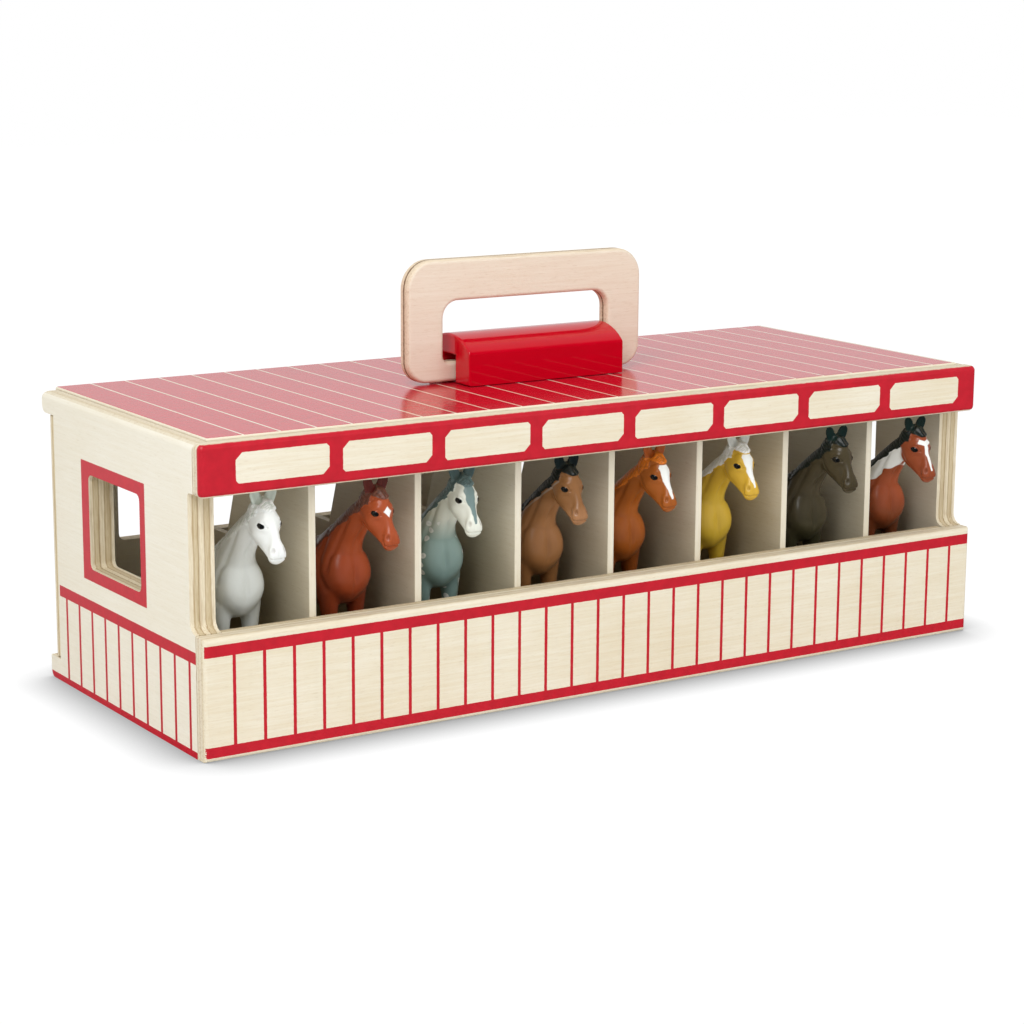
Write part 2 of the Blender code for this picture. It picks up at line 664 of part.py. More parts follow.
HEAD_SHARES = (
    (0.185, 0.945, 0.228, 0.890, 0.026), (0.135, 0.965, 0.236, 0.830, 0.050),
    (0.088, 0.935, 0.212, 0.782, 0.057), (0.058, 0.885, 0.172, 0.757, 0.055),
    (0.040, 0.838, 0.128, 0.736, 0.046), (0.020, 0.797, 0.092, 0.717, 0.040),
    (0.004, 0.765, 0.062, 0.701, 0.043), (0.000, 0.738, 0.038, 0.696, 0.038),
    (0.010, 0.718, 0.024, 0.706, 0.020),
)
MANE_SHARES = (
    (0.092, 0.940, 0.125, 0.915, 0.016), (0.150, 0.980, 0.180, 0.915, 0.028),
    (0.240, 0.915, 0.215, 0.860, 0.030), (0.345, 0.845, 0.305, 0.790, 0.032),
    (0.450, 0.763, 0.410, 0.712, 0.032), (0.525, 0.700, 0.485, 0.660, 0.022),
)
TAIL_SHARES = (
    (0.985, 0.640, 1.015, 0.560, 0.026), (1.010, 0.480, 1.080, 0.520, 0.040),
    (1.020, 0.330, 1.092, 0.330, 0.042), (1.035, 0.170, 1.070, 0.165, 0.016),
)
FORE_LEG_SHARES = (
    (0.335, 0.510, 0.490, 0.480, 0.052), (0.350, 0.380, 0.452, 0.370, 0.046),
    (0.368, 0.280, 0.435, 0.280, 0.032), (0.378, 0.175, 0.424, 0.175, 0.023),
    (0.372, 0.080, 0.428, 0.075, 0.027), (0.345, 0.000, 0.428, 0.000, 0.038),
)
HIND_LEG_SHARES = (
    (0.825, 0.510, 1.015, 0.530, 0.056), (0.865, 0.375, 1.008, 0.405, 0.050),
    (0.930, 0.285, 1.010, 0.300, 0.034), (0.960, 0.185, 1.012, 0.185, 0.026),
    (0.948, 0.080, 1.006, 0.075, 0.028), (0.918, 0.000, 1.005, 0.000, 0.040),
)
EAR_SHARES = (
    (0.140, 0.905, 0.175, 0.915, 0.018), (0.128, 0.955, 0.158, 0.962, 0.021),
    (0.128, 0.995, 0.136, 1.000, 0.006),
)
FORE_LEG_SPREAD_SHARE = 0.066
HIND_LEG_SPREAD_SHARE = 0.074
EAR_FOOT_SPREAD_SHARE = 0.032
EAR_TIP_SPREAD_SHARE = 0.054
EYE_SETBACK_SHARE = 0.087
BODY_SIDES = 8
LEG_SIDES = 6
EAR_SIDES = 5


def limb_mesh(name, shares, sides, spread_shares=(0.0, 0.0)):
    """Return a closed loft through elliptical rings: a body, neck, head, leg or ear."""
    shape = bmesh.new()
    rings = []
    near, far = spread_shares
    for index, (y1, z1, y2, z2, wide) in enumerate(shares):
        offset = near + (far - near) * index / (len(shares) - 1)
        ring = []
        for step in range(sides):
            angle = 2 * math.pi * step / sides
            lift = math.cos(angle) / 2
            place = Vector((offset + wide * math.sin(angle),
                            (y1 + y2) / 2 + (y1 - y2) * lift, (z1 + z2) / 2 + (z1 - z2) * lift))
            ring.append(shape.verts.new(place * HORSE_HEIGHT))
        rings.append(ring)
    for lower, upper in zip(rings, rings[1:]):
        for step in range(sides):
            after = (step + 1) % sides
            shape.faces.new((lower[step], lower[after], upper[after], upper[step]))
    shape.faces.new(rings[0])
    shape.faces.new(rings[-1])
    bmesh.ops.recalc_face_normals(shape, faces=shape.faces)
    mesh = bpy.data.meshes.new(name)
    shape.to_mesh(mesh)
    shape.free()
    return mesh


def horse_mesh():
    """Return one standing horse as a single closed mesh."""
    limbs = [limb_mesh("neck", NECK_SHARES, BODY_SIDES), limb_mesh("head", HEAD_SHARES, BODY_SIDES),
             limb_mesh("mane", MANE_SHARES, LEG_SIDES), limb_mesh("tail", TAIL_SHARES, LEG_SIDES)]
    for side in (-1, 1):
        fore = side * FORE_LEG_SPREAD_SHARE
        hind = side * HIND_LEG_SPREAD_SHARE
        ear = (side * EAR_FOOT_SPREAD_SHARE, side * EAR_TIP_SPREAD_SHARE)
        limbs.append(limb_mesh("fore_leg", FORE_LEG_SHARES, LEG_SIDES, (fore, fore)))
        limbs.append(limb_mesh("hind_leg", HIND_LEG_SHARES, LEG_SIDES, (hind, hind)))
        limbs.append(limb_mesh("ear", EAR_SHARES, EAR_SIDES, ear))
    body = bpy.data.objects.new("horse_body", limb_mesh("body", BODY_SHARES, BODY_SIDES))
    parts.objects.link(body)
    joined = [bpy.data.objects.new("horse_limb", limb) for limb in limbs]
    for limb in joined:
        cutters.objects.link(limb)
        step = body.modifiers.new("join", "BOOLEAN")
        step.operation = "UNION"
        step.solver = "EXACT"
        step.object = limb
    view = bpy.context.evaluated_depsgraph_get()
    mesh = bpy.data.meshes.new_from_object(body.evaluated_get(view))
    for item in joined + [body]:
        bpy.data.objects.remove(item)
    mesh.name = "horse"
    return mesh


def stall_edges():
    """Inner ends of the box and the partitions between them, along X."""
    inner = [partition_x(index) for index in range(len(PARTITION_SHARES))]
    wall = INNER_X + PARTITION_BOARD / 2
    return [-wall] + inner + [wall]


def make_horses():
    """Eight horses of one shape, each in its own coat, one in each stall."""
    shape = horse_mesh()
    nose = min(corner.co.y for corner in shape.vertices)
    foot = min(corner.co.z for corner in shape.vertices)
    eye = nose + HORSE_HEIGHT * EYE_SETBACK_SHARE
    shape.transform(Matrix.Translation((0.0, -eye, -foot)))
    edges = stall_edges()
    pitch = INNER_LENGTH / HORSE_COUNT
    for index in range(HORSE_COUNT):
        name = "horse_%d" % (index + 1)
        coat = paint(name + "_coat", HORSE_COATS[index], COAT_ROUGHNESS)
        horse = as_object(name, shape.copy(), coat)
        middle = (edges[index] + edges[index + 1]) / 2
        setback = STALL_DEPTH * HORSE_SETBACK_SHARES[index]
        horse.location = (middle + pitch * HORSE_SIDE_SHARES[index],
                          FRONT_Y - NOSE_OVERHANG + setback + eye - nose, ON_FLOOR)
        horse.rotation_euler.z = math.radians(HORSE_TURNS[index])
    bpy.data.meshes.remove(shape)


clear_scene()
parts = new_collection("toy_stable")
cutters = new_collection("cutters")

make_end_panel("left_end_panel", -1)
make_end_panel("right_end_panel", 1)
make_boards()
make_partitions()
make_doors()
make_handle()
make_block()
make_screws()
make_horses()
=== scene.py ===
"""Looks of the wooden toy stable: painted plywood boards, a fold-down handle and eight toy horses.

Sizes here are in millimetres in the row frame, and UNIT turns them into Blender's metres.
"""

from contextlib import contextmanager
from functools import partialmethod, reduce
import json
import math

import bmesh
import bpy
import numpy as np
from mathutils import Matrix, Vector

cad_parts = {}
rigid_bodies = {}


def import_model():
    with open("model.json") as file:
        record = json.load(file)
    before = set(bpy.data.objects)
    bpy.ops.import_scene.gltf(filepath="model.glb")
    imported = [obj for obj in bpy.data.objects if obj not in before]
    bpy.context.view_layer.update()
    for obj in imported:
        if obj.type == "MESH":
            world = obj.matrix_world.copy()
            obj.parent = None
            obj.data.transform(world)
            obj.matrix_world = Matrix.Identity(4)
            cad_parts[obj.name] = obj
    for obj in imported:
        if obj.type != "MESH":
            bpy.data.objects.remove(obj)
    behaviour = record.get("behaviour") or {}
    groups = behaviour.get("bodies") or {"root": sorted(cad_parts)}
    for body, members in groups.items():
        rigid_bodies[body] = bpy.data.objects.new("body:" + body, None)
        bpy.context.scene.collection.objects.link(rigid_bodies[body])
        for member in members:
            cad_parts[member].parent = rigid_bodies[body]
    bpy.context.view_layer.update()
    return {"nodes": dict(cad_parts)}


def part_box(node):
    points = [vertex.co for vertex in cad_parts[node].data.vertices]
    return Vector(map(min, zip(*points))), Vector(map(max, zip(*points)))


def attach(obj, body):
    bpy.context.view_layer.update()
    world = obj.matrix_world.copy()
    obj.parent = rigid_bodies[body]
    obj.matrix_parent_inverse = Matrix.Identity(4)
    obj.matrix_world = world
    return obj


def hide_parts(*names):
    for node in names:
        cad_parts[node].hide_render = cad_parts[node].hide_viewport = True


UNIT = 0.001

# Camera: where it stands, its axes and its lens
CAMERA_PLACE = (-573.5, -873.6, 282.0)
CAMERA_RIGHT = (0.84084, -0.54126, 0.00583)
CAMERA_UP = (0.10716, 0.17701, 0.97836)
CAMERA_BACK = (-0.53057, -0.82201, 0.20684)
SENSOR_WIDTH = 36.0
LENS = 90.2
CLIP_METRES = (0.01, 20.0)

# Light
SKY_STRENGTH = 0.68
BACKDROP_STRENGTH = 1.0
MIRRORED_FRONT = 0.03
MIRRORED_REAR = 0.85
# Where the mirrored light grows, along Y on the floor and by direction in the sky
MIRRORED_FLOOR = (-80.0, 300.0)
MIRRORED_SKY = (-0.6, 0.6)
FLOOR_WHITE = 0.86
FLOOR_SEEN = 1.04
FLOOR_CONTACT = 0.40
SHADOW_REACH = 26.0
SHADOW_OPENNESS = (0.45, 0.97)
SHADOW_SAMPLES = 24
FLOOR_REACH = 3000.0
LAMP_TARGET = (0.0, 0.0, 60.0)
# Lamps: name, place, width, power, and whether glossy paint mirrors it
LAMPS = (
    ("key_lamp", (-700.0, -500.0, 900.0), 700.0, 6.4, True),
    ("fill_lamp", (500.0, -900.0, 500.0), 800.0, 2.4, False),
)

# Wood colours, as sRGB values from 0 to 255
BIRCH_LIGHT = (240, 234, 216)
BIRCH_DARK = (226, 212, 181)
WALL_LIGHT = (238, 231, 212)
WALL_DARK = (228, 218, 194)
FLECK = (196, 176, 140)
FLECK_SHARE = 0.30
PALE_LIGHT = (242, 237, 222)
PALE_DARK = (234, 226, 205)
PALE_FLECK_SHARE = 0.16
PLY_LAYERS = (
    (0.00, (238, 229, 206)), (0.14, (234, 223, 196)), (0.18, (190, 166, 128)),
    (0.22, (218, 204, 172)), (0.34, (212, 197, 162)), (0.38, (172, 146, 108)),
    (0.42, (234, 223, 196)), (0.58, (236, 226, 200)), (0.62, (182, 156, 118)),
    (0.66, (216, 201, 168)), (0.80, (210, 194, 158)), (0.84, (190, 166, 128)),
    (0.88, (236, 227, 202)), (1.00, (240, 231, 208)),
)
PALE_LAYERS = (
    (0.00, (240, 233, 214)), (0.18, (236, 227, 204)), (0.24, (224, 210, 180)),
    (0.32, (232, 221, 196)), (0.58, (238, 229, 208)), (0.64, (220, 204, 172)),
    (0.72, (230, 218, 192)), (0.88, (238, 230, 209)), (1.00, (241, 234, 216)),
)
HANDLE_LAYERS = (
    (0.00, (242, 228, 206)), (0.40, (234, 216, 188)), (0.46, (116, 84, 56)),
    (0.52, (124, 92, 62)), (0.58, (234, 216, 188)), (1.00, (244, 230, 210)),
)
FIBRE_TINT = (204, 184, 152)
WORN_TINT = (190, 164, 128)
VENEER_DEPTH = 0.8
HANDLE_LIGHT = (239, 229, 211)
HANDLE_DARK = (228, 211, 188)
HANDLE_FLECK = (205, 180, 150)
HANDLE_FLECK_SHARE = 0.35
# Painted shade inside the stalls: its tint, and the share of it that the floor board, lining and rail get
INSIDE_SHADE = (158, 140, 92)
FLOOR_SHADE_SHARE = 0.5
RED = (204, 24, 44)
RED_DARK = (184, 20, 38)
BLOCK_RED = (202, 0, 30)
BLOCK_RED_DARK = (192, 0, 26)
LACQUER_IOR = 1.5
STEEL_LIGHT = (196, 197, 200)
STEEL_DARK = (168, 170, 174)

# How soft a painted edge is, and one that runs round a board's lip; how far stripes run into bands
EDGE_BLUR = 0.12
LIP_BLUR = 0.3
STRIPE_LAP = 0.5

# Paint on the front panel: bands and stripes, by height and by place along the box
FRONT_PAINT_ENDS = (-183.4, 183.2)
FRONT_TOP_BAND = (39.25, 43.6)
FRONT_FOOT_BAND = (1.65, 5.65)
FRONT_STRIPES = {"first": -171.74, "pitch": 12.294, "count": 29, "width": 1.35}
PAINT_DEPTH = 1.3
SMUDGE = 2.2
SMUDGE_SCALE = 2.4

# Paint on the ends and the doors. A window frame is its two sides, its foot and its top;
# a door's sides are measured from the middle of the box.
END_BAND = (35.6, 40.1)
END_BAND_ENDS = (-80.0, 63.4)
END_FOOT_BAND = (-1.0, 2.6)
END_STRIPES = {"first": -55.0, "pitch": 12.39, "count": 10, "width": 1.8}
END_FRAME = (-19.4, 38.6, 48.0, 95.4)
END_PAINT_DEPTH = 1.0
END_PALE_HEIGHT = 6.0
DOOR_FRAME = (12.0, 162.0, 49.8, 97.0)
DOOR_STRIPE_FOOT = 5.0
DOOR_OUTSIDE = 69.5

# Paint on the fascia: the red field and its bare plates
FASCIA_FIELD = (98.3, 117.0)
FASCIA_WRAP = 2.3
PLATES = {"first": -169.8, "pitch": 43.635, "count": 8, "width": 38.0}
PLATE_HEIGHTS = (102.0, 113.25)
PLATE_CHAMFER = 2.6
PLATE_SMALL_CHAMFER = 1.1
PLATE_ROW_MARGIN = 1.0

# Bare lines on the red roof, and how thin its paint is at the edges
ROOF_PAINT_DEPTH = 0.06
ROOF_PAINT_BLUR = 0.04
ROOF_BARE_END = 2.2
ROOF_LINES = {"first": -163.2, "pitch": 14.9, "count": 23, "width": 0.85}

# Rounded edges of the boards
FACE_RADIUS = 2.0
ROOF_RADIUS = 0.7
SOFT_RADIUS = 0.35
BLOCK_RADIUS = 0.9
HANDLE_RADIUS = 1.5
FASCIA_CORNER = 2.2
SHOULDER_RADIUS = 2.0
SOFT_SEGMENTS = 2
SHOULDER_SEGMENTS = 6
BLOCK_SEGMENTS = 32
# Edges sharper than one angle are rounded, and those flatter than the other are taken out
SHARP_ANGLE = math.radians(35)
FLAT_ANGLE = math.radians(1)
# How far points may lie apart and still be one point, in a CAD mesh and in an outline, or be on a side
CAD_MERGE = 0.002
OUTLINE_MERGE = 0.001
SIDE_REACH = 0.01
# How squarely a face has to look along a board's thickness to be its face and not its edge
BOARD_FACE = 0.7
HANDLE_FACE = 0.8

# Handle and block. Corner radii are at the foot and at the top.
HANDLE_STILE = 16.65
HANDLE_BAR = 8.0
HANDLE_CORNERS = (9.0, 11.5)
HAND_HOLE_HEIGHT = 24.6
HAND_HOLE_CORNERS = (2.4, 7.0)
BLOCK_SHOULDER = 13.3
GROOVE_HALF_WIDTH = 4.8
GROOVE_TOP = 11.3

PARTITIONS = 7


def colour(rgb):
    """Return a linear colour from sRGB values that run from 0 to 255."""
    shares = [value / 255 for value in rgb]
    return tuple(v / 12.92 if v <= 0.04045 else ((v + 0.055) / 1.055) ** 2.4 for v in shares) + (1.0,)


class NodeTree:
    """Short calls that add and join the nodes of a material or of the world."""

    def __init__(self, tree):
        self.tree = tree

    def node(self, kind, inputs=(), **settings):
        """Add a node; inputs are numbers or sockets by name or number."""
        made = self.tree.nodes.new("ShaderNode" + kind)
        for name, value in settings.items():
            setattr(made, name, value)
        for socket, value in dict(inputs).items():
            self.put(value, made.inputs[socket])
        return made

    def put(self, value, socket):
        """Join a socket, or set it to a number."""
        if isinstance(value, bpy.types.NodeSocket):
            self.tree.links.new(value, socket)
        else:
            socket.default_value = value

    def math(self, operation, *values, clamp=False):
        """Return the result of a Math node."""
        made = self.node("Math", dict(enumerate(values)), operation=operation, use_clamp=clamp)
        return made.outputs[0]

    # Short names for the sums in use; scaled is a value times a factor, plus a shift
    plus = partialmethod(math, "ADD")
    minus = partialmethod(math, "SUBTRACT")
    times = partialmethod(math, "MULTIPLY")
    over = partialmethod(math, "DIVIDE")
    size = partialmethod(math, "ABSOLUTE")
    larger = partialmethod(math, "MAXIMUM")
    scaled = partialmethod(math, "MULTIPLY_ADD")

    def spread(self, value, ends, first, second):
        """Return what goes from a first value to a second as another goes between two ends."""
        return self.node("MapRange", {"Value": value, "From Min": ends[0], "From Max": ends[1],
                                      "To Min": first, "To Max": second}).outputs[0]


class Finish(NodeTree):
    """One material, with the textures and the masks that its paint is made of."""

    def __init__(self, name, roughness=0.5, coat=0.0, coat_roughness=0.1, metallic=0.0, specular=0.4):
        self.material = bpy.data.materials.new(name)
        self.material.use_nodes = True
        super().__init__(self.material.node_tree)
        self.shader = self.tree.nodes["Principled BSDF"].inputs
        for socket, value in (("Roughness", roughness), ("Coat Weight", coat), ("Coat Roughness", coat_roughness),
                              ("Metallic", metallic), ("Specular IOR Level", specular)):
            self.shader[socket].default_value = value
        source = self.node("TexCoord").outputs["Object"]
        self.place = self.vector("SCALE", source, scale=1 / UNIT)
        self.x, self.y, self.z = self.split(self.place)

    def split(self, vector):
        """Return the three parts of a vector."""
        return self.node("SeparateXYZ", {0: vector}).outputs[:3]

    def join(self, x, y, z):
        """Return a vector from three parts."""
        return self.node("CombineXYZ", {0: x, 1: y, 2: z}).outputs[0]

    def vector(self, operation, *values, scale=None):
        """Return the result of a Vector Math node."""
        made = self.node("VectorMath", dict(enumerate(values)), operation=operation)
        if scale is not None:
            made.inputs["Scale"].default_value = scale
        return made.outputs["Value" if operation == "LENGTH" else "Vector"]

    def attribute(self, name):
        """Return a number that the mesh carries."""
        return self.node("Attribute", attribute_name=name).outputs["Fac"]

    def mix(self, share, first, second, blend="MIX"):
        """Return a colour between two; a share of one gives the second."""
        made = self.node("Mix", data_type="RGBA", blend_type=blend)
        for socket, value in ((0, share), (6, first), (7, second)):
            self.put(colour(value) if isinstance(value, tuple) else value, made.inputs[socket])
        return made.outputs[2]

    # A colour times another, by a share
    multiply = partialmethod(mix, blend="MULTIPLY")

    def noise(self, scales, detail=3.0, roughness=0.55, offset=(0.0, 0.0, 0.0), place=None):
        """Return noise from 0 to 1; scales are its repeats to the millimetre, in all or along X, Y and Z."""
        scales = scales if isinstance(scales, tuple) else (scales,) * 3
        where = self.vector("MULTIPLY_ADD", place or self.place, scales, offset)
        texture = {"Vector": where, "Scale": 1.0, "Detail": detail, "Roughness": roughness}
        return self.node("TexNoise", texture).outputs[0]

    def mottle(self, scales, gain, shift, **texture):
        """Return noise with more contrast, held from 0 to 1."""
        return self.scaled(self.noise(scales, **texture), gain, shift, clamp=True)

    def wander(self, scales, reach, detail=2.0, **texture):
        """Return noise around zero that goes over a reach in millimetres."""
        return self.scaled(self.noise(scales, detail=detail, **texture), reach, -reach / 2)

    def wavered(self, scales, reach, *values):
        """Return values that stray a little together, as a stencil's edges do."""
        stray = self.wander(scales, reach)
        return [self.plus(value, stray) for value in values]

    def above(self, value, edge, soft=EDGE_BLUR):
        """Return one where the value is over the edge."""
        return self.scaled(self.minus(value, edge), 1 / soft, 0.5, clamp=True)

    def below(self, value, edge, soft=EDGE_BLUR):
        """Return one where the value is under the edge."""
        return self.scaled(self.minus(edge, value), 1 / soft, 0.5, clamp=True)

    def band(self, value, low, high, soft=EDGE_BLUR):
        """Return one between two values."""
        return self.times(self.above(value, low, soft), self.below(value, high, soft))

    def both(self, *masks):
        """Return one where every mask is one."""
        return reduce(self.times, masks)

    def either(self, *masks):
        """Return one where any mask is one."""
        return reduce(self.larger, masks)

    def without(self, mask, hole):
        """Return the first mask less the second."""
        return self.minus(mask, hole, clamp=True)

    def in_pitch(self, value, first, pitch):
        """Return the distance past the nearest of evenly spaced places."""
        turns = self.over(self.minus(value, first), pitch)
        return self.times(self.minus(turns, self.math("ROUND", turns)), pitch)

    def stripes(self, value, first, pitch, count, width):
        """Return one on each of a row of stripes."""
        past = self.size(self.in_pitch(value, first, pitch))
        row = self.band(value, first - pitch / 2, first + pitch * (count - 0.5))
        return self.both(self.below(past, width / 2), row)

    def ramp(self, value, stops):
        """Return the colour of a ramp of (place, sRGB colour) stops."""
        made = self.node("ValToRGB", {0: value})
        elements = made.color_ramp.elements
        while len(elements) < len(stops):
            elements.new(0.5)
        for element, (place, rgb) in zip(elements, stops):
            element.position = place
            element.color = colour(rgb)
        return made.outputs[0]

    def surface(self, base, height=None, distance=0.05, strength=0.5, roughness=None):
        """Join the finished colour, bump and roughness to the shader."""
        self.put(base, self.shader["Base Color"])
        if height is not None:
            bump = self.node("Bump", {"Height": height, "Strength": strength, "Distance": distance * UNIT})
            self.put(bump.outputs[0], self.shader["Normal"])
        if roughness is not None:
            self.put(roughness, self.shader["Roughness"])
        return self.material


# Wood textures, in repeats to the millimetre, by the axis that the grain follows
GRAIN_ALONG = {"X": (0.045, 1.1, 1.1), "Y": (1.1, 0.045, 1.1), "Z": (1.1, 1.1, 0.045)}
FLECK_ALONG = {"X": (0.30, 2.6, 2.6), "Y": (2.6, 0.30, 2.6), "Z": (2.6, 2.6, 0.30)}
# Noise recipes: what sets their contrast, their detail and their place
STREAKS = {"gain": 2.6, "shift": -0.8, "detail": 5.0, "roughness": 0.62}
FLECKS = {"detail": 2.0, "offset": (7.1, 3.3, 5.7)}
CLOUDS = {"scales": 0.018, "gain": 2.4, "shift": -0.7, "detail": 2.0, "offset": (1.7, 9.2, 4.4)}
PAINT_MOTTLE = {"scales": 0.25, "gain": 1.6, "shift": -0.4, "offset": (2.0, 6.0, 8.0)}
LAYER_STRAY = {"reach": 0.13, "detail": 4.0, "offset": (4.0, 1.0, 2.0)}
LAYER_FIBRE = {"gain": 1.8, "shift": -0.5, "detail": 4.0, "offset": (5.0, 8.0, 3.0)}
LAYER_WEAR = {"detail": 2.0, "offset": (8.0, 3.0, 6.0)}
# Where flecks and wear begin in their noise, and how softly
FLECK_EDGE = (0.66, 0.16)
WEAR_EDGE = (0.62, 0.2)
CLOUD_SHARE = 0.45
FIBRE_SHARE = 0.5
WEAR_SHARE = 0.35
# How deep flecks lie in bare wood, and how far paint fills the grain and stands over it
FLECK_DEPTH = 0.6
PAINT_FILL = 0.6
# How fast a stencil's edge strays, and how far in millimetres
FRONT_WAVER = (0.6, 0.24)
END_WAVER = (0.6, 0.2)
FASCIA_WAVER = (0.5, 0.3)
ROOF_WAVER = ((0.4, 0.05, 0.4), 0.2)
# Painted shade inside the stalls, as factors and shifts: down along Z, back along Y
SHADE_DOWN = (-0.014, 1.15)
SHADE_BACK = (0.006, 0.45)
SHADE_DOWN_SHARE = 0.7
SHADE_SHARE = 0.8
# Roughness of bare and of painted wood
SATIN = (0.5, 0.33)
ROOF_SHEEN = (0.4, 0.264)


def bare_wood(finish, grain, light, dark, fleck=FLECK, fleck_share=FLECK_SHARE):
    """Return the colour and the height of bare face veneer with its grain along an axis."""
    streak = finish.mottle(GRAIN_ALONG[grain], **STREAKS)
    flecks = finish.above(finish.noise(FLECK_ALONG[grain], **FLECKS), *FLECK_EDGE)
    blend = finish.scaled(finish.mottle(**CLOUDS), CLOUD_SHARE, finish.times(streak, 1 - CLOUD_SHARE))
    base = finish.mix(blend, light, dark)
    base = finish.mix(finish.times(flecks, fleck_share), base, fleck)
    return base, finish.scaled(flecks, -FLECK_DEPTH, streak)


def painted_wood(finish, wood, height, mask, roughness=SATIN, **bump):
    """Lay opaque red paint over bare wood where the mask is one, and return the material."""
    paint = finish.mix(finish.mottle(**PAINT_MOTTLE), RED, RED_DARK)
    base = finish.mix(mask, wood, paint)
    smooth = finish.times(height, finish.scaled(mask, -PAINT_FILL, 1.0))
    raised = finish.scaled(mask, PAINT_FILL, smooth)
    bare, painted = roughness
    return finish.surface(base, raised, roughness=finish.scaled(mask, painted - bare, bare), **bump)


def ply_layers(finish, across, low, high, stops, grain):
    """Return the colour and the height of a plywood edge whose layers stack between two places."""
    share = finish.over(finish.minus(across, low), high - low)
    stray = finish.wander(GRAIN_ALONG[grain], **LAYER_STRAY)
    base = finish.ramp(finish.plus(share, stray), stops)
    fibre = finish.mottle(FLECK_ALONG[grain], **LAYER_FIBRE)
    base = finish.multiply(finish.times(fibre, FIBRE_SHARE), base, FIBRE_TINT)
    worn = finish.above(finish.noise(GRAIN_ALONG[grain], **LAYER_WEAR), *WEAR_EDGE)
    return finish.multiply(finish.times(worn, WEAR_SHARE), base, WORN_TINT), fibre


def veneered(finish, wood, across, face, back):
    """Return the colour of a board whose layers show wherever its edge is deeper than the veneer."""
    layers, _ = ply_layers(finish, across, min(face, back), max(face, back), PALE_LAYERS, "X")
    depth = finish.size(finish.minus(across, face))
    return finish.mix(finish.above(depth, VENEER_DEPTH, LIP_BLUR), wood, layers)


def shaded_inside(finish, base, mask=1.0):
    """Paint shade on bare wood inside the stalls, darker toward the floor and the back."""
    down = finish.scaled(finish.z, *SHADE_DOWN, clamp=True)
    back = finish.scaled(finish.y, *SHADE_BACK, clamp=True)
    share = finish.times(finish.scaled(down, SHADE_DOWN_SHARE, back), mask)
    return finish.multiply(finish.times(share, SHADE_SHARE, clamp=True), base, INSIDE_SHADE)


def front_panel_finish(low, high):
    """Birch veneer with red bands and stripes on its face; its edges show the layers."""
    finish = Finish("front_panel_paint")
    wood, height = bare_wood(finish, "X", BIRCH_LIGHT, BIRCH_DARK)
    x, z = finish.wavered(*FRONT_WAVER, finish.x, finish.z)
    smudged = finish.plus(x, finish.wander(SMUDGE_SCALE, SMUDGE, detail=4.0))
    bands = [finish.both(finish.band(z, *heights), finish.band(along, *FRONT_PAINT_ENDS))
             for along, heights in ((x, FRONT_TOP_BAND), (smudged, FRONT_FOOT_BAND))]
    between = finish.band(finish.z, FRONT_FOOT_BAND[1] - STRIPE_LAP, FRONT_TOP_BAND[0] + STRIPE_LAP)
    lines = finish.both(finish.stripes(x, **FRONT_STRIPES), between)
    on_face = finish.below(finish.y, low.y / UNIT + PAINT_DEPTH, LIP_BLUR)
    wood = veneered(finish, wood, finish.y, low.y / UNIT, high.y / UNIT)
    return painted_wood(finish, wood, height, finish.both(finish.either(*bands, lines), on_face))


def edge_finish(node, axis, grain, stops=PLY_LAYERS, pale_from=None):
    """A plywood edge: layers across the thickness of a node's board, paler above a height."""
    low, high = (corner[axis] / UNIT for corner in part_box(node))
    finish = Finish(node + "_edge", roughness=0.62)
    across = (finish.x, finish.y, finish.z)[axis]
    base, height = ply_layers(finish, across, low, high, stops, grain)
    if pale_from is not None:
        pale, _ = ply_layers(finish, across, low, high, PALE_LAYERS, grain)
        base = finish.mix(finish.above(finish.z, pale_from, 1.0), base, pale)
    return finish.surface(base, height, distance=0.08)


def window_and_stripes(finish, along, z, window, stripes, foot):
    """Return one on a window frame, and on stripes that rise from a foot to the end band."""
    near, far, bottom, top = window
    frame_mask = finish.both(finish.band(along, near, far), finish.band(z, bottom, top))
    lines = finish.both(finish.stripes(along, **stripes), finish.band(z, foot, END_BAND[0] + STRIPE_LAP))
    return finish.either(frame_mask, lines)


def end_panel_finish(face):
    """Pale veneer with a red window frame, bands and stripes outside; painted shade inside."""
    finish = Finish("end_panel_paint")
    wood, height = bare_wood(finish, "Y", PALE_LIGHT, PALE_DARK, fleck_share=PALE_FLECK_SHARE)
    along, z = finish.wavered(*END_WAVER, finish.y, finish.z)
    mask = finish.either(
        window_and_stripes(finish, along, z, END_FRAME, END_STRIPES, END_FOOT_BAND[1] - STRIPE_LAP),
        finish.both(finish.band(z, *END_BAND), finish.band(along, *END_BAND_ENDS)),
        finish.band(z, *END_FOOT_BAND),
    )
    outside = finish.above(finish.size(finish.x), face - END_PAINT_DEPTH, LIP_BLUR)
    # Painted shade on the inner face
    wood = shaded_inside(finish, wood, finish.minus(1.0, outside))
    return painted_wood(finish, wood, height, finish.both(mask, outside))


def door_finish(name, window):
    """Pale veneer with a red window frame, band and stripes, for the back."""
    finish = Finish(name)
    wood, height = bare_wood(finish, "X", PALE_LIGHT, PALE_DARK, fleck_share=PALE_FLECK_SHARE)
    along, z = finish.wavered(*END_WAVER, finish.x, finish.z)
    mask = finish.either(window_and_stripes(finish, along, z, window, FRONT_STRIPES, DOOR_STRIPE_FOOT),
                         finish.band(z, *END_BAND))
    outside = finish.above(finish.y, DOOR_OUTSIDE, LIP_BLUR)
    return painted_wood(finish, wood, height, finish.both(mask, outside))


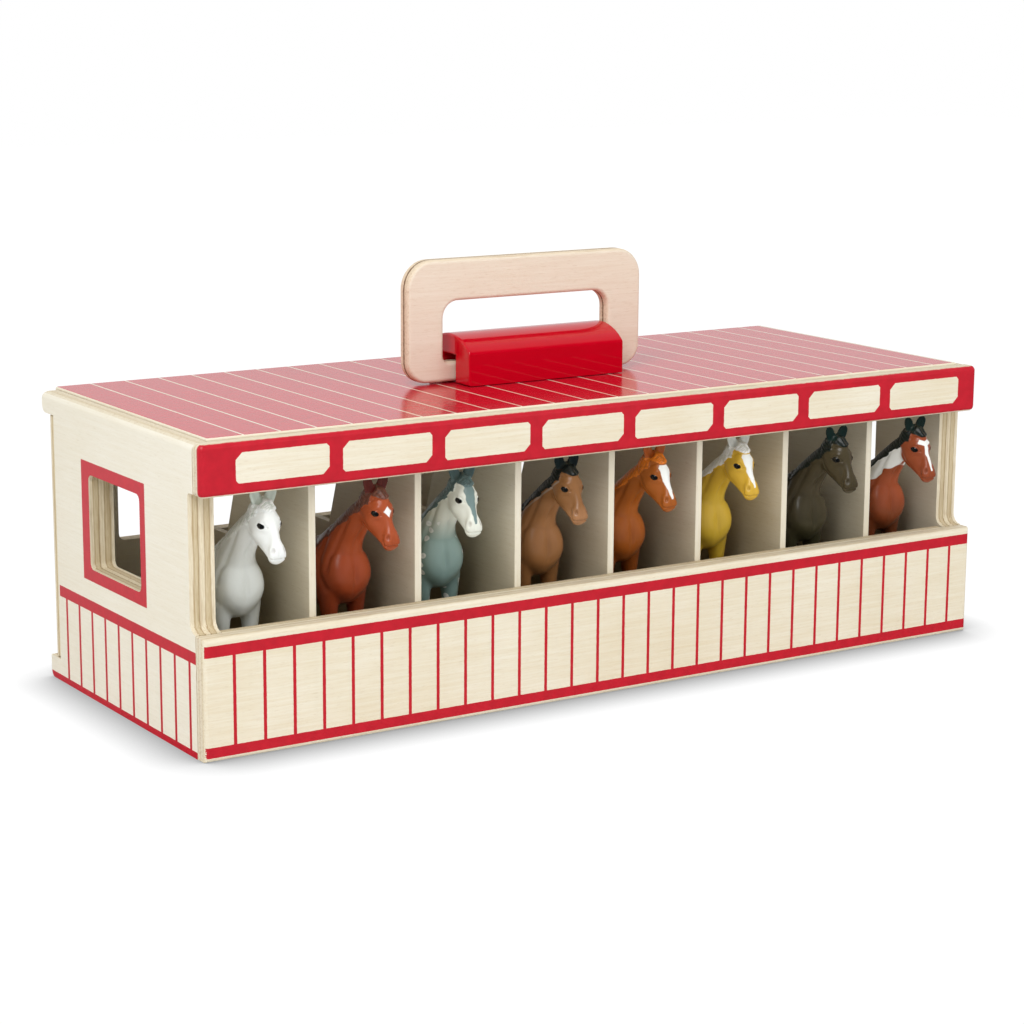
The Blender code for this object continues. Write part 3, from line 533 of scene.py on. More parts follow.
def fascia_finish(low, high):
    """Red field with eight bare plates; the edges above and below stay bare."""
    finish = Finish("fascia_paint")
    wood, height = bare_wood(finish, "X", BIRCH_LIGHT, BIRCH_DARK)
    x, z = finish.wavered(*FASCIA_WAVER, finish.x, finish.z)
    field = finish.both(finish.band(z, *FASCIA_FIELD),
                        finish.below(finish.y, low.y / UNIT + FASCIA_WRAP, LIP_BLUR))
    half_width = PLATES["width"] / 2
    half_height = (PLATE_HEIGHTS[1] - PLATE_HEIGHTS[0]) / 2
    first = PLATES["first"] + half_width
    last = first + PLATES["pitch"] * (PLATES["count"] - 1)
    reach = half_width + PLATE_ROW_MARGIN
    rim = half_width + half_height
    u = finish.in_pitch(x, first, PLATES["pitch"])
    v = finish.minus(z, sum(PLATE_HEIGHTS) / 2)
    plates = finish.both(
        finish.band(x, first - reach, last + reach),
        finish.below(finish.size(u), half_width),
        finish.below(finish.size(v), half_height),
        finish.below(finish.size(finish.minus(u, v)), rim - PLATE_CHAMFER),
        finish.below(finish.size(finish.plus(u, v)), rim - PLATE_SMALL_CHAMFER),
    )
    wood = veneered(finish, wood, finish.y, low.y / UNIT, high.y / UNIT)
    return painted_wood(finish, wood, height, finish.without(field, plates))


def roof_finish(low, high):
    """Glossy red with thin bare lines across the depth, over bare edges."""
    finish = Finish("roof_paint", roughness=0.4, coat=0.7, coat_roughness=0.15, specular=0.02)
    wood, height = bare_wood(finish, "X", BIRCH_LIGHT, BIRCH_DARK)
    along, = finish.wavered(*ROOF_WAVER, finish.x)
    on_top = finish.both(finish.above(finish.z, high.z / UNIT - ROOF_PAINT_DEPTH, ROOF_PAINT_BLUR),
                         finish.below(finish.x, high.x / UNIT - ROOF_BARE_END))
    painted = finish.without(on_top, finish.stripes(along, **ROOF_LINES))
    wood = veneered(finish, wood, finish.z, high.z / UNIT, low.z / UNIT)
    return painted_wood(finish, wood, height, painted, ROOF_SHEEN, distance=0.03, strength=0.3)


def plain_board_finish(name, grain, light=BIRCH_LIGHT, dark=BIRCH_DARK, inside=0.0):
    """Bare birch veneer, with painted shade where it lies inside the stalls."""
    finish = Finish(name, roughness=0.52)
    base, height = bare_wood(finish, grain, light, dark)
    if inside:
        base = shaded_inside(finish, base, inside)
    return finish.surface(base, height)


def block_finish():
    """High-gloss red lacquer over wood."""
    finish = Finish("block_lacquer", roughness=0.3, coat=1.0, coat_roughness=0.05, specular=0.0)
    finish.shader["Coat IOR"].default_value = LACQUER_IOR
    base = finish.mix(finish.noise((0.12, 0.3, 0.3), detail=2.0), BLOCK_RED, BLOCK_RED_DARK)
    orange_peel = finish.noise(0.5, detail=2.0)
    return finish.surface(base, orange_peel, distance=0.03, strength=0.25)


def handle_face_finish():
    """Sanded bare veneer with a fine grain along the handle."""
    finish = Finish("handle_veneer")
    base, height = bare_wood(finish, "X", HANDLE_LIGHT, HANDLE_DARK, HANDLE_FLECK, HANDLE_FLECK_SHARE)
    return finish.surface(base, height, distance=0.03)


def steel_finish():
    """Plated steel with fine turning marks."""
    finish = Finish("plated_steel", roughness=0.3, metallic=1.0)
    marks = finish.noise(3.0, detail=2.0)
    return finish.surface(finish.mix(marks, STEEL_LIGHT, STEEL_DARK), marks, distance=0.01, strength=0.3)


def finished_object(name, mesh, materials, body, node):
    """Put a finished mesh in the scene; it rides on a body and stands for a CAD node."""
    mesh.name = name
    for material in materials:
        mesh.materials.append(material)
    made = bpy.data.objects.new(name, mesh)
    bpy.context.scene.collection.objects.link(made)
    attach(made, body)
    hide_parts(node)


def evaluated(data, *steps):
    """Return the mesh of a mesh or curve after modifiers, each given as (kind, settings)."""
    holder = bpy.data.objects.new("holder", data)
    bpy.context.scene.collection.objects.link(holder)
    for kind, settings in steps:
        step = holder.modifiers.new(kind.lower(), kind)
        for name, value in settings.items():
            setattr(step, name, value)
    view = bpy.context.evaluated_depsgraph_get()
    result = bpy.data.meshes.new_from_object(holder.evaluated_get(view))
    bpy.data.objects.remove(holder)
    return result


@contextmanager
def shaping(mesh, source=None):
    """Lend the shape of a mesh, or of another as a start, and put it in the mesh after its edit."""
    shape = bmesh.new()
    shape.from_mesh(source or mesh)
    yield shape
    shape.to_mesh(mesh)
    shape.free()


def shade(mesh):
    """Smooth a mesh's rounded edges and keep its flat faces flat."""
    mesh.shade_smooth()
    mesh.set_sharp_from_angle(angle=SHARP_ANGLE)
    return evaluated(mesh, ("WEIGHTED_NORMAL", {"keep_sharp": True, "weight": 100}))


def by_normal(mesh, axis, limit=BOARD_FACE):
    """Give the second material to faces that look across the board's thickness axis."""
    for face in mesh.polygons:
        face.material_index = 0 if abs(face.normal[axis]) > limit else 1


def round_edges(shape, edges, radius, segments, clamp=False):
    """Round edges to a radius in millimetres."""
    bmesh.ops.bevel(shape, geom=edges, offset=radius * UNIT, segments=segments, profile=0.5,
                    affect="EDGES", clamp_overlap=clamp)


def soften(shape):
    """Round every sharp edge of a shape a little."""
    sharp = [e for e in shape.edges if e.is_manifold and e.calc_face_angle() > SHARP_ANGLE]
    round_edges(shape, sharp, SOFT_RADIUS, SOFT_SEGMENTS, clamp=True)


def soft_copy(node):
    """Return a merged copy of a CAD node with its sharp edges rounded."""
    mesh = bpy.data.meshes.new(node + "_soft")
    with shaping(mesh, frame["nodes"][node].data) as shape:
        bmesh.ops.remove_doubles(shape, verts=shape.verts, dist=CAD_MERGE * UNIT)
        bmesh.ops.dissolve_limit(shape, angle_limit=FLAT_ANGLE, verts=shape.verts, edges=shape.edges)
        soften(shape)
    return shade(mesh)


def rounded_box(low, high, axis, value, radius, corner, segments=5):
    """Return a box rounded around one side, also at that side's corners, and softened elsewhere."""
    reach = SIDE_REACH * UNIT
    mesh = bpy.data.meshes.new("rounded_box")
    with shaping(mesh) as shape:
        bmesh.ops.create_cube(shape, size=1.0)
        bmesh.ops.scale(shape, vec=high - low, verts=shape.verts)
        bmesh.ops.translate(shape, vec=(low + high) / 2, verts=shape.verts)
        if corner:
            through = [e for e in shape.edges if abs(e.verts[0].co[axis] - e.verts[1].co[axis]) > reach]
            round_edges(shape, through, corner, segments)
        on_side = [e for e in shape.edges if all(abs(v.co[axis] - value) < reach for v in e.verts)]
        round_edges(shape, on_side, radius, segments)
        soften(shape)
    return shade(mesh)


def arc(centre, radius, start, end, segments):
    """Return points along an arc, angles in degrees."""
    angles = [math.radians(start + (end - start) * step / segments) for step in range(segments + 1)]
    return [(centre[0] + radius * math.cos(a), centre[1] + radius * math.sin(a)) for a in angles]


def rounded_rectangle(left, right, bottom, top, corners, segments=10):
    """Return the outline of a rectangle, anticlockwise from its lower left corner."""
    foot, head = corners
    outline = arc((left + foot, bottom + foot), foot, 180, 270, segments)
    outline += arc((right - foot, bottom + foot), foot, 270, 360, segments)
    outline += arc((right - head, top - head), head, 0, 90, segments)
    outline += arc((left + head, top - head), head, 90, 180, segments)
    return outline


def plate(outlines, thickness, stand, edge_radius, edge_segments=4):
    """Return a plate with rounded edges, drawn in its own plane in millimetres and stood in place."""
    curve = bpy.data.curves.new("plate_outline", "CURVE")
    curve.dimensions = "2D"
    curve.fill_mode = "BOTH"
    curve.extrude = (thickness / 2 - edge_radius) * UNIT
    curve.bevel_depth = edge_radius * UNIT
    curve.bevel_resolution = edge_segments
    curve.offset = -edge_radius * UNIT
    for outline in outlines:
        spline = curve.splines.new("POLY")
        spline.points.add(len(outline) - 1)
        for point, (u, v) in zip(spline.points, outline):
            point.co = (u * UNIT, v * UNIT, 0.0, 1.0)
        spline.use_cyclic_u = True
    mesh = evaluated(curve)
    with shaping(mesh) as shape:
        bmesh.ops.remove_doubles(shape, verts=shape.verts, dist=OUTLINE_MERGE * UNIT)
        bmesh.ops.transform(shape, matrix=stand, verts=shape.verts)
        bmesh.ops.recalc_face_normals(shape, faces=shape.faces)
    mesh.materials.clear()
    return shade(mesh)


def board(node, name, axis, face, edge, body="stable"):
    """Finish a CAD board that is thin along an axis, with one material on its faces and one on its edges."""
    mesh = soft_copy(node)
    by_normal(mesh, axis)
    finished_object(name, mesh, [face, edge], body, node)


def make_boards():
    """Front panel, fascia, roof, ends, partitions, floor and rails."""
    for node, name, axis, end, radius, corner, paint, slot in (
            ("front_panel", "front_fence", 1, 0, FACE_RADIUS, 0.0, front_panel_finish, "plywood"),
            ("fascia_board", "fascia", 1, 0, FACE_RADIUS, FASCIA_CORNER, fascia_finish, "red_paint"),
            ("roof_board", "roof", 2, 1, ROOF_RADIUS, 0.0, roof_finish, "red_paint")):
        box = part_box(node)
        mesh = rounded_box(*box, axis, box[end][axis], radius, corner)
        finished_object(name, mesh, [paint(*box)], "stable", node)

    face = end_panel_finish(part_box("right_end_panel")[1].x / UNIT)
    for side in ("left", "right"):
        node = side + "_end_panel"
        pale_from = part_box(node)[1].z / UNIT - END_PALE_HEIGHT
        board(node, side + "_end", 0, face, edge_finish(node, 0, "Z", pale_from=pale_from))

    # The partition faces get the full painted shade of the stalls
    face = plain_board_finish("partition_veneer", "Y", WALL_LIGHT, WALL_DARK, inside=1.0)
    for number in range(1, PARTITIONS + 1):
        node = "partition_%d" % number
        edge = plain_board_finish(node + "_edge", "Z", BIRCH_LIGHT, WALL_DARK)
        board(node, "stall_wall_%d" % number, 0, face, edge)

    # The floor board, lining and rail get part of the painted shade
    face = plain_board_finish("inner_veneer", "X", inside=FLOOR_SHADE_SHARE)
    for node, name, axis in (("floor_board", "floor_slab", 2), ("front_lining", "fence_lining", 1),
                             ("rear_rail", "door_stop_rail", 1)):
        board(node, name, axis, face, edge_finish(node, axis, "X"))


def make_doors():
    """The two back doors."""
    near, far, bottom, top = DOOR_FRAME
    for side, ends in (("left", (-far, -near)), ("right", (near, far))):
        node = side + "_door"
        face = door_finish(node + "_paint", (*ends, bottom, top))
        board(node, side + "_back_door", 1, face, edge_finish(node, 1, "Z"), node)


def make_handle():
    """Handle loop with rounded edges."""
    low, high = (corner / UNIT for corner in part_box("handle"))
    bar_top = low.z + HANDLE_BAR
    rim = rounded_rectangle(low.x, high.x, low.z, high.z, HANDLE_CORNERS)
    hole = rounded_rectangle(low.x + HANDLE_STILE, high.x - HANDLE_STILE,
                             bar_top, bar_top + HAND_HOLE_HEIGHT, HAND_HOLE_CORNERS)
    upright = Matrix(((1, 0, 0, 0), (0, 0, -1, 0), (0, 1, 0, 0), (0, 0, 0, 1)))
    stand = Matrix.Translation((0, (low.y + high.y) / 2 * UNIT, 0)) @ upright
    mesh = plate([rim, hole[::-1]], high.y - low.y, stand, HANDLE_RADIUS)
    by_normal(mesh, 1, HANDLE_FACE)
    edge = edge_finish("handle", 1, "X", HANDLE_LAYERS)
    finished_object("carry_handle", mesh, [handle_face_finish(), edge], "handle", "handle")


def make_block():
    """The lacquered block that the handle turns in: a groove below, a round back and eased shoulders."""
    low, high = (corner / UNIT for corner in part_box("handle_block"))
    half = (high.y - low.y) / 2
    rise = high.z - low.z - BLOCK_SHOULDER
    radius = (half * half + rise * rise) / (2 * rise)
    centre = high.z - radius
    inset = half - SHOULDER_RADIUS
    ease = centre + math.sqrt((radius - SHOULDER_RADIUS) ** 2 - inset ** 2)
    start = math.degrees(math.atan2(ease - centre, inset))
    groove, groove_top = GROOVE_HALF_WIDTH, low.z + GROOVE_TOP
    outline = [(-half, low.z), (-groove, low.z), (-groove, groove_top),
               (groove, groove_top), (groove, low.z), (half, low.z)]
    outline += arc((inset, ease), SHOULDER_RADIUS, 0, start, SHOULDER_SEGMENTS)[:-1]
    outline += arc((0.0, centre), radius, start, 180 - start, BLOCK_SEGMENTS)
    outline += arc((-inset, ease), SHOULDER_RADIUS, 180 - start, 180, SHOULDER_SEGMENTS)[1:]
    outline = [(y + (low.y + high.y) / 2, z) for y, z in outline]
    across = Matrix(((0, 0, 1, 0), (1, 0, 0, 0), (0, 1, 0, 0), (0, 0, 0, 1)))
    stand = Matrix.Translation(((low.x + high.x) / 2 * UNIT, 0, 0)) @ across
    mesh = plate([outline], high.x - low.x, stand, BLOCK_RADIUS)
    finished_object("handle_saddle", mesh, [block_finish()], "stable", "handle_block")


def dress_small_parts():
    """Steel pins, magnets and screws keep their CAD shapes."""
    steel = steel_finish()
    for name, node in frame["nodes"].items():
        if any(word in name for word in ("pin", "magnet", "screw")):
            node.data.materials.clear()
            node.data.materials.append(steel)


# A horse's shape, in shares of its height. It faces -Y with its nose at zero and its
# hooves at zero. Each ring runs between two edge points and has a half width:
# (first edge behind the nose, its height, second edge behind the nose, its height, half width).
HORSE_HEIGHT = 87.5
EYE_SETBACK = 7.61
BODY_RINGS = (
    (0.298, 0.585, 0.290, 0.500, 0.050), (0.322, 0.645, 0.305, 0.450, 0.092),
    (0.375, 0.690, 0.350, 0.405, 0.115), (0.465, 0.692, 0.452, 0.378, 0.130),
    (0.590, 0.660, 0.580, 0.358, 0.139), (0.715, 0.632, 0.715, 0.362, 0.142),
    (0.850, 0.645, 0.845, 0.395, 0.136), (0.950, 0.645, 0.950, 0.425, 0.116),
    (1.015, 0.595, 1.010, 0.465, 0.076), (1.040, 0.550, 1.038, 0.505, 0.030),
)
NECK_RINGS = (
    (0.520, 0.675, 0.300, 0.530, 0.106), (0.440, 0.735, 0.312, 0.605, 0.086),
    (0.355, 0.800, 0.292, 0.675, 0.068), (0.275, 0.860, 0.250, 0.735, 0.057),
    (0.205, 0.905, 0.205, 0.790, 0.050), (0.160, 0.920, 0.165, 0.830, 0.040),
)
HEAD_RINGS = (
    (0.185, 0.945, 0.228, 0.890, 0.026), (0.135, 0.965, 0.236, 0.830, 0.048),
    (0.088, 0.935, 0.212, 0.782, 0.054), (0.058, 0.885, 0.172, 0.757, 0.052),
    (0.042, 0.838, 0.132, 0.739, 0.042), (0.022, 0.797, 0.096, 0.719, 0.036),
    (0.006, 0.765, 0.064, 0.702, 0.040), (0.001, 0.738, 0.040, 0.696, 0.037),
    (0.010, 0.716, 0.024, 0.704, 0.022),
)
TAIL_RINGS = (
    (0.985, 0.640, 1.015, 0.560, 0.026), (1.010, 0.480, 1.080, 0.520, 0.040),
    (1.020, 0.330, 1.092, 0.330, 0.042), (1.035, 0.170, 1.070, 0.165, 0.016),
)
FORE_LEG_RINGS = (
    (0.335, 0.510, 0.490, 0.480, 0.048), (0.352, 0.385, 0.445, 0.375, 0.038),
    (0.368, 0.280, 0.432, 0.280, 0.029), (0.366, 0.235, 0.436, 0.232, 0.032),
    (0.380, 0.170, 0.424, 0.170, 0.023), (0.374, 0.085, 0.428, 0.080, 0.028),
    (0.362, 0.055, 0.418, 0.055, 0.026), (0.345, 0.000, 0.426, 0.000, 0.037),
)
HIND_LEG_RINGS = (
    (0.825, 0.510, 1.015, 0.530, 0.056), (0.865, 0.375, 1.008, 0.405, 0.050),
    (0.930, 0.285, 1.012, 0.300, 0.034), (0.946, 0.245, 1.022, 0.255, 0.031),
    (0.964, 0.170, 1.012, 0.175, 0.024), (0.950, 0.085, 1.006, 0.080, 0.028),
    (0.934, 0.055, 0.994, 0.055, 0.027), (0.918, 0.000, 1.003, 0.000, 0.038),
)
FORE_LEG_SPREAD = 6.1
HIND_LEG_SPREAD = 6.5

# Ears: (out from the middle, behind the eye, above the hooves, half width, half thickness), in millimetres
EAR_RINGS = (
    (1.9, 5.6, 79.0, 1.4, 1.2), (2.2, 5.4, 81.0, 1.9, 1.1), (2.65, 5.2, 82.9, 2.35, 0.95),
    (3.15, 5.1, 84.8, 2.5, 0.85), (3.6, 5.0, 86.5, 2.15, 0.75), (3.8, 4.95, 87.7, 1.2, 0.5),
)
EAR_TURN = -6.0
EAR_FOOT = 81.6
EAR_REACH = 2.7
# The hollow in front of each ear: its path, half width and depth
EAR_HOLLOW = (((2.8, 4.3, 83.2), (3.3, 4.2, 84.9), (3.6, 4.2, 86.3)), 1.1, 0.6)

# Sculpting, in millimetres from the eye: X out from the middle, Y behind the eye, Z above the hooves.
# Dents and bumps: (centre, radii, height); on both sides where X isn't zero.
SOFT_MARKS = (
    ((4.3, -0.4, 74.9), (2.0, 2.3, 2.1), 0.75),
    ((4.6, -0.4, 74.7), (1.4, 1.5, 1.0), 0.35),
    ((3.8, -1.4, 77.2), (1.8, 1.9, 1.1), 0.55),
    ((4.4, -1.2, 71.9), (1.5, 1.9, 1.2), -0.45),
    ((3.4, -3.6, 70.0), (1.5, 1.7, 3.6), -0.75),
    ((0.0, -4.6, 73.0), (1.4, 2.0, 6.0), 0.30),
    ((4.8, 3.4, 70.4), (2.0, 3.2, 3.2), 0.55),
    ((3.4, -2.6, 65.4), (1.6, 1.7, 2.2), -0.75),
    ((2.6, -5.7, 66.6), (2.0, 1.7, 2.2), 0.50),
    ((2.6, -6.5, 66.7), (0.70, 0.80, 1.15), -1.10),
    ((0.0, -7.6, 65.2), (0.8, 1.3, 1.8), -0.35),
    ((0.0, -4.8, 60.8), (2.6, 1.8, 1.0), 0.45),
    ((0.0, -0.8, 61.8), (2.6, 1.6, 1.3), -0.60),
    ((0.0, 15.8, 61.0), (1.1, 4.0, 8.0), -0.90),
    ((3.4, 16.6, 62.0), (1.8, 4.0, 7.0), 0.35),
    ((0.0, 17.6, 46.5), (1.1, 4.0, 6.0), -0.70),
    ((5.5, 18.0, 47.5), (3.6, 4.0, 5.0), 0.60),
    ((5.8, 20.0, 36.0), (3.0, 4.0, 3.0), -0.60),
    ((9.5, 27.0, 40.0), (3.0, 6.0, 6.0), 0.40),
    ((11.0, 66.0, 44.0), (3.0, 7.0, 6.0), 0.45),
    ((11.5, 55.0, 42.0), (3.0, 3.0, 8.0), -0.35),
)
# Grooves drawn in the side view: (points behind the eye and above the hooves, half width, depth)
GROOVES = (
    (((-9.0, 63.2), (-6.4, 62.9), (-4.6, 63.2), (-2.8, 64.2)), 0.34, 0.50),
    (((9.6, 79.5), (9.6, 75.5), (8.4, 72.0), (6.4, 69.2), (4.4, 66.9)), 0.65, 0.60),
    (((16.2, 70.0), (18.4, 65.5), (21.4, 60.0), (23.6, 54.5), (23.6, 49.5)), 1.0, 0.65),
    (((27.0, 67.0), (27.4, 60.0), (28.4, 54.0), (27.0, 47.0), (24.6, 42.0)), 1.3, 0.55),
    (((-2.3, 74.1), (-0.9, 76.0), (0.9, 76.0), (2.1, 74.7)), 0.24, 0.34),
    (((-2.3, 74.1), (-0.2, 73.2), (2.1, 74.7)), 0.24, 0.26),
    (((0.4, 80.0), (2.6, 79.0), (4.8, 78.4)), 0.5, 0.25),
)
GROOVE_START = 0.8
# Each hoof ends in a groove: (its height, half width, depth)
HOOF_GROOVE = (6.2, 0.5, 0.22)
# The part of the head that is divided once more: up to this far behind the eye, between two heights
FINE_HEAD = (9.0, 60.0, 81.0)
MUZZLE_END = -8.0
CREST = ((5.0, 84.6), (12.9, 79.9), (22.1, 73.9), (31.4, 66.7), (36.9, 61.6), (42.0, 58.6))
MANE_DEPTH = 6.6
MANE_FAR_DEPTH = 2.0
MANE_RISE = 0.55
MANE_BLUR = 0.7
# The mane hangs on a horse's right side: over what width it fades in, and how long its taper is
MANE_SIDE_BLUR = 1.6
MANE_TAPER = 2.5
# Depth given to points beyond the crest's ends, and the depth to which strands lean
BEYOND_CREST = 40.0
LEAN_DEPTH = 8.0
# Waves of the mane's lower edge: (height, turns along Y, start)
MANE_RIPPLES = ((0.3, 0.8, 0.0), (0.15, 1.9, 1.0))
STRAND_PITCH = 1.5
STRAND_HEIGHT = 0.1
STRAND_SLOPE = math.radians(-24)
STRAND_LEAN = 0.55
STRAND_WAVE = (1.3, 0.9)
FINE_STRAND_PITCH = STRAND_PITCH * 0.43
FINE_STRAND_SHARE = 0.5
TAIL_FROM = 81.0
TAIL_TOP = 52.0
TAIL_STRAND = 0.22
FORELOCK = ((0.0, 2.6, 81.9), (3.5, 5.2, 3.3))
FORELOCK_RISE = 0.42
FORELOCK_BLUR = 0.35
FORELOCK_PITCH = 2.2
BODY_VOXEL = 0.58
DETAIL_VOXEL = 0.46
KEPT_SHARE = 0.7
RING_STEPS = 5
RING_SIDES = 20
RING_ANGLES = [2 * math.pi * step / RING_SIDES for step in range(RING_SIDES)]


def spline_rows(rows, steps):
    """Return rows of numbers with smooth rows put between them."""
    table = np.array(rows, float)
    ends = np.vstack([2 * table[0] - table[1], table, 2 * table[-1] - table[-2]])
    result = []
    for index in range(len(table) - 1):
        a, b, c, d = ends[index:index + 4]
        for step in range(steps):
            t = step / steps
            result.append(0.5 * (2 * b + (c - a) * t + (2 * a - 5 * b + 4 * c - d) * t ** 2
                                 + (3 * b - a - 3 * c + d) * t ** 3))
    return result + [table[-1]]


def add_loft(shape, rings):
    """Add a closed loft through rings of points, in millimetres."""
    made = [[shape.verts.new(Vector(point) * UNIT) for point in ring] for ring in rings]
    for lower, upper in zip(made, made[1:]):
        for step, start in enumerate(lower):
            after = (step + 1) % len(lower)
            shape.faces.new((start, lower[after], upper[after], upper[step]))
    shape.faces.new(made[0])
    shape.faces.new(made[-1])


def limb_rings(rows, spread=0.0):
    """Return elliptical rings of a limb, in millimetres from the eye."""
    rings = []
    for y1, z1, y2, z2, wide in spline_rows(rows, RING_STEPS):
        rings.append([(spread + wide * HORSE_HEIGHT * math.sin(angle),
                       ((y1 + y2) / 2 + (y1 - y2) * math.cos(angle) / 2) * HORSE_HEIGHT - EYE_SETBACK,
                       ((z1 + z2) / 2 + (z1 - z2) * math.cos(angle) / 2) * HORSE_HEIGHT)
                      for angle in RING_ANGLES])
    return rings


def ear_rings(side):
    """Return the leaf-shaped rings of one ear."""
    turn = math.radians(EAR_TURN) * side
    rings = []
    for out, back, up, wide, thick in spline_rows(EAR_RINGS, RING_STEPS):
        ring = []
        for angle in RING_ANGLES:
            u, v = wide * math.cos(angle), thick * math.sin(angle)
            ring.append((side * out + u * math.cos(turn) - v * math.sin(turn),
                         back + u * math.sin(turn) + v * math.cos(turn), up))
        rings.append(ring)
    return rings


def closed_mesh(lofts, base=None):
    """Return a mesh of closed lofts, beside what an earlier mesh holds."""
    mesh = bpy.data.meshes.new("closed")
    with shaping(mesh, base) as shape:
        for rings in lofts:
            add_loft(shape, rings)
        bmesh.ops.recalc_face_normals(shape, faces=shape.faces)
    return mesh


def vertex_arrays(mesh):
    """Return the places and normals of a mesh's vertices, in millimetres."""
    count = len(mesh.vertices)
    places = np.zeros(count * 3)
    mesh.vertices.foreach_get("co", places)
    normals = np.zeros(count * 3)
    mesh.vertex_normals.foreach_get("vector", normals)
    return places.reshape(-1, 3) / UNIT, normals.reshape(-1, 3)


def move_vertices(mesh, places):
    """Put a mesh's vertices at places given in millimetres."""
    mesh.vertices.foreach_set("co", (places * UNIT).ravel())
    mesh.update()


def along_path(points, path):
    """Return each point's distance from a path, and how far along the path it is nearest."""
    path = np.array(path, float)
    nearest = np.full(len(points), 1e9)
    travel = np.zeros(len(points))
    start_travel = 0.0
    for start, end in zip(path, path[1:]):
        run = end - start
        length = np.linalg.norm(run)
        share = np.clip((points - start) @ run / length ** 2, 0, 1)
        distance = np.linalg.norm(points - start - share[:, None] * run, axis=1)
        closer = distance < nearest
        nearest[closer] = distance[closer]
        travel[closer] = start_travel + share[closer] * length
        start_travel += length
    return nearest, travel


def folded_over(places):
    """Return places with those on the left side mirrored onto the right."""
    return np.column_stack([np.abs(places[:, 0]), places[:, 1:]])


def smooth_step(values):
    """Return a smooth rise from zero to one."""
    held = np.clip(values, 0, 1)
    return held * held * (3 - 2 * held)


def refine_head(mesh):
    """Divide the faces of the head once more, for the eyes and the muzzle."""
    behind, low, high = (limit * UNIT for limit in FINE_HEAD)
    with shaping(mesh) as shape:
        edges = [e for e in shape.edges if all(v.co.y < behind and low < v.co.z < high for v in e.verts)]
        bmesh.ops.subdivide_edges(shape, edges=edges, cuts=1, use_grid_fill=True)


def carve(mesh):
    """Add eyes, nostrils, mouth, cheeks and muscle lines."""
    places, normals = vertex_arrays(mesh)
    folded = folded_over(places)
    move = np.zeros(len(places))
    for centre, radii, height in SOFT_MARKS:
        reach = (((folded - centre) / radii) ** 2).sum(1)
        move += height * np.exp(-reach)
    beside = smooth_step((folded[:, 0] - GROOVE_START) / GROOVE_START)
    for path, half_width, depth in GROOVES:
        distance, _ = along_path(places[:, 1:], path)
        on_muzzle = path[0][0] < MUZZLE_END
        move -= depth * np.exp(-(distance / half_width) ** 2) * (1.0 if on_muzzle else beside)
    height, half_width, depth = HOOF_GROOVE
    move -= depth * np.exp(-((places[:, 2] - height) / half_width) ** 2)
    move_vertices(mesh, places + normals * move[:, None])


def crest_depth(places):
    """Return how far each point lies under the crest of the neck, and how far along it."""
    distance, travel = along_path(places[:, 1:], spline_rows(CREST, RING_STEPS))
    beyond = (places[:, 1] < CREST[0][0] - 2.0) | (places[:, 1] > CREST[-1][0])
    return np.where(beyond, BEYOND_CREST, distance), travel


def mane_mask(places):
    """Return one on the mane and the forelock, and how far along the mane each point is."""
    depth, travel = crest_depth(places)
    ripple = sum(rise * np.sin(places[:, 1] * turns + start) for rise, turns, start in MANE_RIPPLES)
    near = smooth_step((MANE_DEPTH + ripple - depth) / MANE_BLUR + 0.5)
    far = smooth_step((MANE_FAR_DEPTH - depth) / MANE_BLUR + 0.5)
    hang = smooth_step(0.5 - places[:, 0] / MANE_SIDE_BLUR)
    mask = near * hang + far * (1 - hang)
    length = sum(math.dist(a, b) for a, b in zip(CREST, CREST[1:]))
    mask *= smooth_step((length - travel) / MANE_TAPER)
    centre, radii = FORELOCK
    shape = (((places - centre) / radii) ** 2).sum(1)
    forelock = smooth_step((1.0 - shape) / FORELOCK_BLUR + 0.5)
    return np.maximum(mask, forelock) * (1 - ear_mask(places)), travel


def raise_mane(mesh):
    """Raise the mane and the forelock in strands."""
    places, normals = vertex_arrays(mesh)
    mask, travel = mane_mask(places)
    depth, _ = crest_depth(places)
    lean = travel + STRAND_LEAN * np.minimum(depth, LEAN_DEPTH)
    wave, turns = STRAND_WAVE
    strands = np.sin(2 * math.pi * lean / STRAND_PITCH + wave * np.sin(travel * turns))
    strands += FINE_STRAND_SHARE * np.sin(2 * math.pi * lean / FINE_STRAND_PITCH + 2.0)
    front = places[:, 1] < CREST[0][0] - 0.5
    locks = 2.2 * np.sin(2 * math.pi * places[:, 0] / FORELOCK_PITCH + 0.8 * places[:, 2])
    locks += np.sin(places[:, 2] * 2.6)
    strands = np.where(front, locks, strands)
    move = mask * (np.where(front, FORELOCK_RISE, MANE_RISE) + STRAND_HEIGHT * strands)
    tail = smooth_step((places[:, 1] - TAIL_FROM - 0.5) / 1.5) * smooth_step((TAIL_TOP - places[:, 2]) / 3.0)
    move += TAIL_STRAND * tail * np.sin(places[:, 0] * 3.6 + 0.15 * places[:, 2])
    move_vertices(mesh, places + normals * move[:, None])


def ear_mask(places):
    """Return one on the ears."""
    paths = [[(side * out, back, up) for out, back, up, _, _ in EAR_RINGS] for side in (-1, 1)]
    near = np.minimum(*(along_path(places, path)[0] for path in paths))
    return smooth_step((EAR_REACH - near) / 0.5 + 0.5) * smooth_step((places[:, 2] - EAR_FOOT) / 0.6)


def hollow_ears(mesh):
    """Press the front of each ear in."""
    places, normals = vertex_arrays(mesh)
    path, half_width, depth = EAR_HOLLOW
    distance, _ = along_path(folded_over(places), path)
    press = np.exp(-(distance / half_width) ** 2) * (normals[:, 1] < 0.1)
    move_vertices(mesh, places - normals * (depth * press)[:, None])


